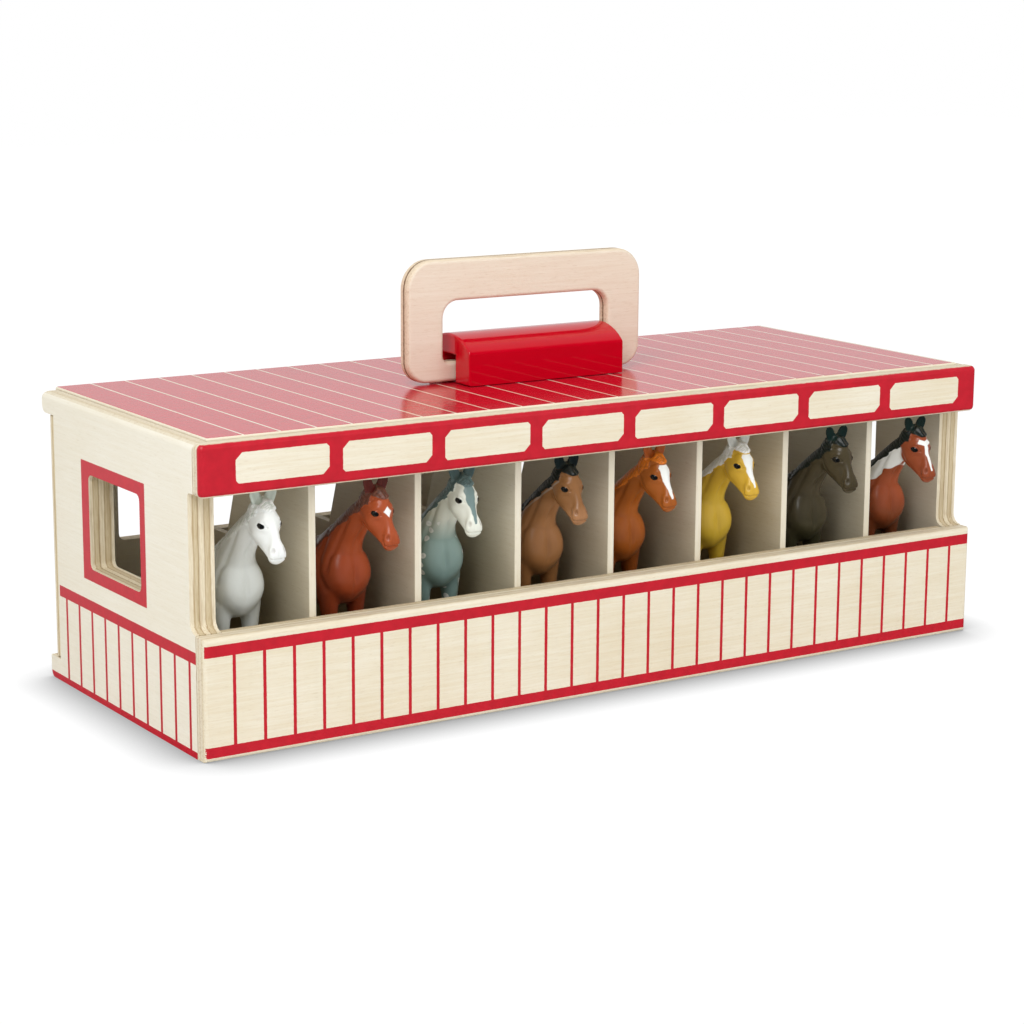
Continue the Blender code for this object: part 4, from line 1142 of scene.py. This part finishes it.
def horse_mesh():
    """Sculpt the one horse that all eight share."""
    limbs = [limb_rings(rows) for rows in (BODY_RINGS, NECK_RINGS, HEAD_RINGS, TAIL_RINGS)]
    for side in (-1, 1):
        limbs.append(limb_rings(FORE_LEG_RINGS, side * FORE_LEG_SPREAD))
        limbs.append(limb_rings(HIND_LEG_RINGS, side * HIND_LEG_SPREAD))
    body = evaluated(closed_mesh(limbs),
                     ("REMESH", {"mode": "VOXEL", "voxel_size": BODY_VOXEL * UNIT}),
                     ("SMOOTH", {"factor": 0.5, "iterations": 6}))
    body = evaluated(closed_mesh([ear_rings(-1), ear_rings(1)], body),
                     ("REMESH", {"mode": "VOXEL", "voxel_size": DETAIL_VOXEL * UNIT}),
                     ("SMOOTH", {"factor": 0.5, "iterations": 3}))
    refine_head(body)
    carve(body)
    raise_mane(body)
    hollow_ears(body)
    body = evaluated(body, ("DECIMATE", {"ratio": KEPT_SHARE}))
    places, normals = vertex_arrays(body)
    depth, _ = crest_depth(places)
    mane, _ = mane_mask(places)
    carried = {"mane": mane, "ears": ear_mask(places), "crest": depth, "side": np.abs(normals[:, 0])}
    for name, values in carried.items():
        made = body.attributes.new(name, "FLOAT", "POINT")
        made.data.foreach_set("value", values.astype(np.float32))
    return body


# Where each horse stands: eye's place along and across the box, and its turn in degrees
HORSE_PLACES = (
    (-153.04, -59.94, 2.1), (-106.79, -62.11, 5.9), (-67.51, -58.37, -4.4), (-20.92, -61.27, -1.7),
    (23.27, -59.21, 3.4), (66.29, -58.00, -2.0), (110.09, -68.04, -0.8), (153.69, -67.31, -2.1),
)
HOOF_LEVEL = 9.3
WHITE = (240, 242, 238)
HOOF = (74, 66, 60)
NOSE_GREY = (118, 140, 138)
EYE_BLACK = (14, 16, 18)
NOSTRIL_TINT = (120, 90, 80)
BAY_MUZZLE = (166, 118, 78)
MANE_LINE = (196, 200, 196)
DOT_HEART = (186, 198, 196)
DOT_SPACING = 4.1
DOT_RADIUS = 1.1
DOT_HEART_RADIUS = 0.4 * DOT_RADIUS
DOT_HEART_SHARE = 0.35
# Dots lie on the sides, behind one place and under a height
DOTS_SIDE = (0.55, 0.1)
DOTS_FROM = (15.0, 1.5)
DOTS_TOP = (64.0, 2.0)
# The head's colour begins over a slanting line; the low colour, partly the toys' own darker belly and partly
# painted shade, begins under a height
HEAD_FROM = 52.0
HEAD_SLANT = -0.35
HEAD_GROWTH = 0.09
LOW_FROM = 56.0
LOW_GROWTH = 0.05
COAT_MOTTLE = {"scales": 0.09, "gain": 2.2, "shift": -0.6, "detail": 4.0}
MOTTLE_SHARE = 0.3
# The pinto's white: down from the crest by a depth that varies, and in patches on the rump
NECK_PATCH = {"scales": 0.13, "detail": 1.0}
NECK_PATCH_DEPTH = (8.0, 7.4)
NECK_PATCH_FROM = (9.0, 1.0)
RUMP_PATCH_FROM = (40.0, 2.0)
PATCHES = {"scales": 0.05, "offset": (3.0, 1.0, 6.0)}
PATCH_EDGE = (0.53, 0.012)
# The bay's lighter muzzle, and the pale line under the edge of its mane
BAY_MUZZLE_TOP = (67.0, 4.0)
MANE_LINE_BAND = (MANE_DEPTH + 0.2, MANE_DEPTH + 1.0)
MANE_LINE_SIDE = -1.0
MANE_LINE_SHARE = 0.3
STRANDS = {"scales": (0.9, 2.2, 0.22), "gain": 3.2, "shift": -1.1}
# Lighter strands are the mane's colour times a factor, plus a shift
LIGHT_STRANDS = (1.25, 8)
HAIR_HEIGHT = 2.5
COAT_GRAIN = {"scales": 0.8, "offset": (1.0, 5.0, 2.0)}
COAT_ROUGHNESS = 0.36
EYE_ROUGHNESS = 0.08
PAINT_BLUR = 0.3
# On the plain coats the head colour, darker than the body, holds painted shade on the cheeks
COATS = (
    # The white horse's grey-green mane and ears are painted shade
    {"name": "white", "top": (230, 234, 230), "low": (230, 235, 230), "head": (240, 243, 240),
     "mane": (208, 216, 206), "ears": (208, 218, 207)},
    {"name": "chestnut", "top": (180, 82, 41), "low": (140, 58, 31), "head": (168, 76, 37),
     "mane": (92, 54, 42), "ears": (104, 42, 36), "mark": "diamond"},
    {"name": "dapple", "top": (148, 171, 164), "low": (128, 156, 152), "head": (230, 233, 220),
     "mane": (78, 98, 98), "ears": (84, 106, 106), "mark": "nose", "head_from": 48.0},
    {"name": "bay", "top": (168, 116, 72), "low": (148, 100, 56), "head": (140, 95, 54),
     "mane": (10, 18, 16), "ears": (26, 40, 42)},
    {"name": "sorrel", "top": (190, 104, 36), "low": (140, 70, 22), "head": (166, 89, 27),
     "mane": (190, 102, 26), "ears": (178, 88, 30), "mark": "blaze"},
    {"name": "palomino", "top": (226, 188, 64), "low": (214, 179, 57), "head": (214, 172, 54),
     "mane": (214, 214, 202), "ears": (216, 218, 212), "mark": "blaze"},
    {"name": "dark_bay", "top": (79, 69, 50), "low": (52, 52, 32), "head": (70, 61, 40),
     "mane": (9, 20, 16), "ears": (20, 42, 38)},
    {"name": "pinto", "top": (170, 80, 42), "low": (104, 56, 30), "head": (148, 70, 37),
     "mane": (9, 20, 16), "ears": (22, 42, 38), "mark": "tee"},
)

# Spots on both sides of the head: (centre, radii), in millimetres from the eye as above
EYE = ((4.8, -0.35, 74.7), (2.4, 1.85, 1.12))
EYE_SLOPE = -0.12
EYE_BLUR = 0.16
NOSTRIL = ((2.7, -6.5, 66.6), (1.0, 0.8, 1.1))
NOSTRIL_EDGE = (0.8, 1.2)
NOSTRIL_SHARE = 0.6
# Face marks lie in front of a slanting line. The diamond is (its height, half width, half height);
# the others are (where they start to widen, by how much, least half width, foot, top).
FACE_FRONT = -16.6
FACE_SLANT = -0.2
DIAMOND = (75.4, 1.75, 1.9)
BLAZES = {
    "nose": (67.0, 0.17, 0.45, 66.4, 82.0),
    "blaze": (67.0, 0.19, 0.45, 66.4, 79.4),
    "tee": (66.0, 0.055, 0.45, 66.2, 78.0),
}
# The bar across the tee: (half width, foot, top)
TEE_BAR = (3.1, 76.0, 78.2)
TEE_SAG = 0.35
MARK_WANDER = {"scales": 0.3, "reach": 1.6, "detail": 1.0}


def face_marks(finish, kind, x, y, z):
    """Return one on the mark painted on a horse's face."""
    front = finish.below(finish.scaled(z, FACE_SLANT, y), FACE_FRONT, PAINT_BLUR)
    out = finish.size(finish.plus(x, finish.wander(**MARK_WANDER)))
    if kind == "diamond":
        middle, half_width, half_height = DIAMOND
        height = finish.size(finish.minus(z, middle))
        reach = finish.plus(finish.over(out, half_width), finish.over(height, half_height))
        return finish.both(finish.below(reach, 1.0, PAINT_BLUR), front)
    start, widening, least, foot, top = BLAZES[kind]
    half_width = finish.scaled(finish.minus(z, start), widening, least)
    mark = finish.both(finish.above(finish.minus(half_width, out), 0.0, PAINT_BLUR),
                       finish.band(z, foot, top, PAINT_BLUR))
    if kind == "tee":
        half_width, foot, top = TEE_BAR
        sag = finish.scaled(out, -TEE_SAG, z)
        bar = finish.both(finish.below(out, half_width, PAINT_BLUR), finish.band(sag, foot, top, PAINT_BLUR))
        mark = finish.either(mark, bar)
    return finish.both(mark, front)


def dapples(finish, y, z):
    """Return one on the pale dots of a dappled coat, and one on their hearts alone."""
    where = finish.vector("SCALE", finish.join(y, z, 0.0), scale=1 / DOT_SPACING)
    cells = finish.node("TexVoronoi", {"Vector": where, "Scale": 1.0, "Randomness": 0.75},
                        feature="F1", voronoi_dimensions="2D")
    distance = finish.times(cells.outputs["Distance"], DOT_SPACING)
    region = finish.both(finish.above(finish.attribute("side"), *DOTS_SIDE),
                         finish.above(y, *DOTS_FROM), finish.below(z, *DOTS_TOP))
    return (finish.both(finish.below(distance, DOT_RADIUS, 0.2), region),
            finish.both(finish.below(distance, DOT_HEART_RADIUS, 0.3), region))


def coat_colour(finish, coat, x, y, z):
    """Return the colour of a horse's coat, with its patches and its face mark."""
    # Darker toward the belly: partly the toy's own tone, partly painted shade
    belly_tone_and_shade = finish.times(finish.minus(LOW_FROM, z), LOW_GROWTH, clamp=True)
    mottle = finish.times(finish.mottle(**COAT_MOTTLE), MOTTLE_SHARE)
    low_share = finish.scaled(belly_tone_and_shade, 1 - MOTTLE_SHARE, mottle)
    base = finish.mix(low_share, coat["top"], coat["low"])
    # Head colour: on the plain coats its darker tone is painted shade on the cheeks
    headward = finish.minus(finish.scaled(y, HEAD_SLANT, z), coat.get("head_from", HEAD_FROM))
    on_head = finish.times(headward, HEAD_GROWTH, clamp=True)
    base = finish.mix(on_head, base, coat["head"])
    if coat["name"] == "dapple":
        dots, hearts = dapples(finish, y, z)
        base = finish.mix(dots, base, WHITE)
        base = finish.mix(finish.times(hearts, DOT_HEART_SHARE), base, DOT_HEART)
    if coat["name"] == "bay":
        base = finish.mix(finish.both(finish.below(z, *BAY_MUZZLE_TOP), on_head), base, BAY_MUZZLE)
        beside = finish.band(finish.attribute("crest"), *MANE_LINE_BAND, PAINT_BLUR)
        line = finish.both(beside, finish.below(x, MANE_LINE_SIDE))
        base = finish.mix(finish.times(line, MANE_LINE_SHARE), base, MANE_LINE)
    if coat["name"] == "pinto":
        reach = finish.scaled(finish.noise(**NECK_PATCH), *NECK_PATCH_DEPTH)
        inside = finish.minus(reach, finish.attribute("crest"))
        neck = finish.both(finish.above(inside, 0.0, PAINT_BLUR), finish.above(y, *NECK_PATCH_FROM))
        patches = finish.above(finish.noise(**PATCHES), *PATCH_EDGE)
        rump = finish.both(patches, finish.above(y, *RUMP_PATCH_FROM))
        base = finish.mix(finish.either(neck, rump), base, WHITE)
    if "mark" in coat:
        tint = NOSE_GREY if coat["mark"] == "nose" else WHITE
        base = finish.mix(face_marks(finish, coat["mark"], x, y, z), base, tint)
    return base


def from_spot(finish, x, y, z, spot):
    """Return how far a place is from a spot on either side of the head, in shares of its radii."""
    parts = [finish.over(finish.minus(value, middle), radius)
             for value, middle, radius in zip((finish.size(x), y, z), *spot)]
    return finish.vector("LENGTH", finish.join(*parts))


def coat_finish(coat, x_place, y_place, turn):
    """Glossy paint of one horse: coat, mane, ears, marks, eyes and hooves."""
    finish = Finish(coat["name"] + "_coat", roughness=0.4, coat=0.22, coat_roughness=0.22)
    mapping = finish.node("Mapping", {
        "Vector": finish.place, "Location": (x_place, y_place, HOOF_LEVEL),
        "Rotation": (0.0, 0.0, math.radians(turn))}, vector_type="TEXTURE")
    local = mapping.outputs[0]
    x, y, z = finish.split(local)
    base = coat_colour(finish, coat, x, y, z)

    combed = finish.node("Mapping", {"Vector": local, "Rotation": (STRAND_SLOPE, 0.0, 0.0)})
    streak = finish.mottle(**STRANDS, place=combed.outputs[0])
    factor, shift = LIGHT_STRANDS
    lighter = tuple(min(255, int(value * factor + shift)) for value in coat["mane"])
    tail = finish.both(finish.above(y, TAIL_FROM, 1.0), finish.below(z, TAIL_TOP, 2.0))
    hair = finish.either(finish.above(finish.attribute("mane"), 0.5, PAINT_BLUR), tail)
    base = finish.mix(hair, base, finish.mix(streak, coat["mane"], lighter))
    base = finish.mix(finish.above(finish.attribute("ears"), 0.5, PAINT_BLUR), base, coat["ears"])
    base = finish.mix(finish.below(z, HOOF_GROOVE[0], PAINT_BLUR), base, HOOF)

    eye = finish.below(from_spot(finish, x, y, finish.scaled(y, EYE_SLOPE, z), EYE), 1.0, EYE_BLUR)
    base = finish.mix(eye, base, EYE_BLACK)
    nostril = finish.below(from_spot(finish, x, y, z, NOSTRIL), *NOSTRIL_EDGE)
    base = finish.multiply(finish.times(nostril, NOSTRIL_SHARE), base, NOSTRIL_TINT)
    grain = finish.scaled(finish.both(streak, hair), HAIR_HEIGHT, finish.noise(**COAT_GRAIN))
    roughness = finish.scaled(eye, EYE_ROUGHNESS - COAT_ROUGHNESS, COAT_ROUGHNESS)
    return finish.surface(base, grain, distance=0.08, strength=0.3, roughness=roughness)


def make_horses():
    """Eight horses of one sculpted shape, each in its own coat and place."""
    sculpted = horse_mesh()
    sculpted.shade_smooth()
    for number, (coat, (x, y, turn)) in enumerate(zip(COATS, HORSE_PLACES), 1):
        mesh = sculpted.copy()
        place = Vector((x, y, HOOF_LEVEL)) * UNIT
        mesh.transform(Matrix.Translation(place) @ Matrix.Rotation(math.radians(turn), 4, "Z"))
        node = "horse_%d" % number
        finished_object("toy_" + node, mesh, [coat_finish(coat, x, y, turn)], "stable", node)
    bpy.data.meshes.remove(sculpted)


def make_camera():
    """A camera at the photograph's place."""
    data = bpy.data.cameras.new("camera")
    data.sensor_width = SENSOR_WIDTH
    data.lens = LENS
    data.clip_start, data.clip_end = CLIP_METRES
    camera = bpy.data.objects.new("camera", data)
    turn = Matrix((CAMERA_RIGHT, CAMERA_UP, CAMERA_BACK)).transposed().to_4x4()
    camera.matrix_world = Matrix.Translation(Vector(CAMERA_PLACE) * UNIT) @ turn
    bpy.context.scene.collection.objects.link(camera)
    bpy.context.scene.camera = camera


def make_floor():
    """A plain white floor with a soft contact shadow; glossy paint mirrors it light from behind."""
    mesh = bpy.data.meshes.new("studio_floor")
    with shaping(mesh) as shape:
        bmesh.ops.create_grid(shape, x_segments=1, y_segments=1, size=FLOOR_REACH * UNIT)
    floor = bpy.data.objects.new("studio_floor", mesh)
    bpy.context.scene.collection.objects.link(floor)
    finish = Finish("studio_floor", roughness=0.9, specular=0.0)
    rays = finish.node("LightPath").outputs
    seen = rays["Is Camera Ray"]
    ahead = finish.spread(finish.y, MIRRORED_FLOOR, MIRRORED_FRONT, MIRRORED_REAR)
    level = finish.mix(rays["Is Glossy Ray"], (255, 255, 255), ahead)
    level = finish.mix(seen, level, (0, 0, 0))
    base = finish.multiply(1.0, level, finish.join(FLOOR_WHITE, FLOOR_WHITE, FLOOR_WHITE))
    finish.put(base, finish.shader["Base Color"])
    around = finish.node("AmbientOcclusion", {"Distance": SHADOW_REACH * UNIT}, samples=SHADOW_SAMPLES)
    light = finish.spread(around.outputs["AO"], SHADOW_OPENNESS, FLOOR_CONTACT, FLOOR_SEEN)
    finish.put(colour((255, 255, 255)), finish.shader["Emission Color"])
    finish.put(finish.times(light, seen), finish.shader["Emission Strength"])
    mesh.materials.append(finish.material)


def make_sky():
    """A white background, and even light that glossy paint mirrors from behind."""
    world = bpy.data.worlds.new("studio")
    bpy.context.scene.world = world
    world.use_nodes = True
    sky = NodeTree(world.node_tree)
    background = sky.tree.nodes["Background"].inputs
    rays = sky.node("LightPath").outputs
    direction = sky.node("SeparateXYZ", {0: sky.node("TexCoord").outputs["Generated"]}).outputs
    mirrored = sky.spread(direction["Y"], MIRRORED_SKY, MIRRORED_FRONT, MIRRORED_REAR)
    lighting = sky.spread(rays["Is Glossy Ray"], (0.0, 1.0), SKY_STRENGTH, mirrored)
    seen = sky.larger(rays["Is Camera Ray"], rays["Is Transmission Ray"])
    sky.put(colour((255, 255, 255)), background["Color"])
    sky.put(sky.spread(seen, (0.0, 1.0), lighting, BACKDROP_STRENGTH), background["Strength"])


def make_lamps():
    """Soft round lamps, aimed at the middle of the box."""
    for name, place, size, power, mirrored in LAMPS:
        data = bpy.data.lights.new(name, "AREA")
        data.shape = "DISK"
        data.size = size * UNIT
        data.energy = power
        lamp = bpy.data.objects.new(name, data)
        lamp.location = Vector(place) * UNIT
        lamp.rotation_euler = (Vector(LAMP_TARGET) - Vector(place)).to_track_quat("-Z", "Y").to_euler()
        lamp.visible_glossy = mirrored
        bpy.context.scene.collection.objects.link(lamp)


bpy.ops.object.select_all(action="SELECT")
bpy.ops.object.delete()
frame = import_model()
bpy.context.scene.view_settings.view_transform = "Standard"

make_camera()
make_floor()
make_sky()
make_lamps()
make_boards()
make_doors()
make_handle()
make_block()
dress_small_parts()
make_horses()
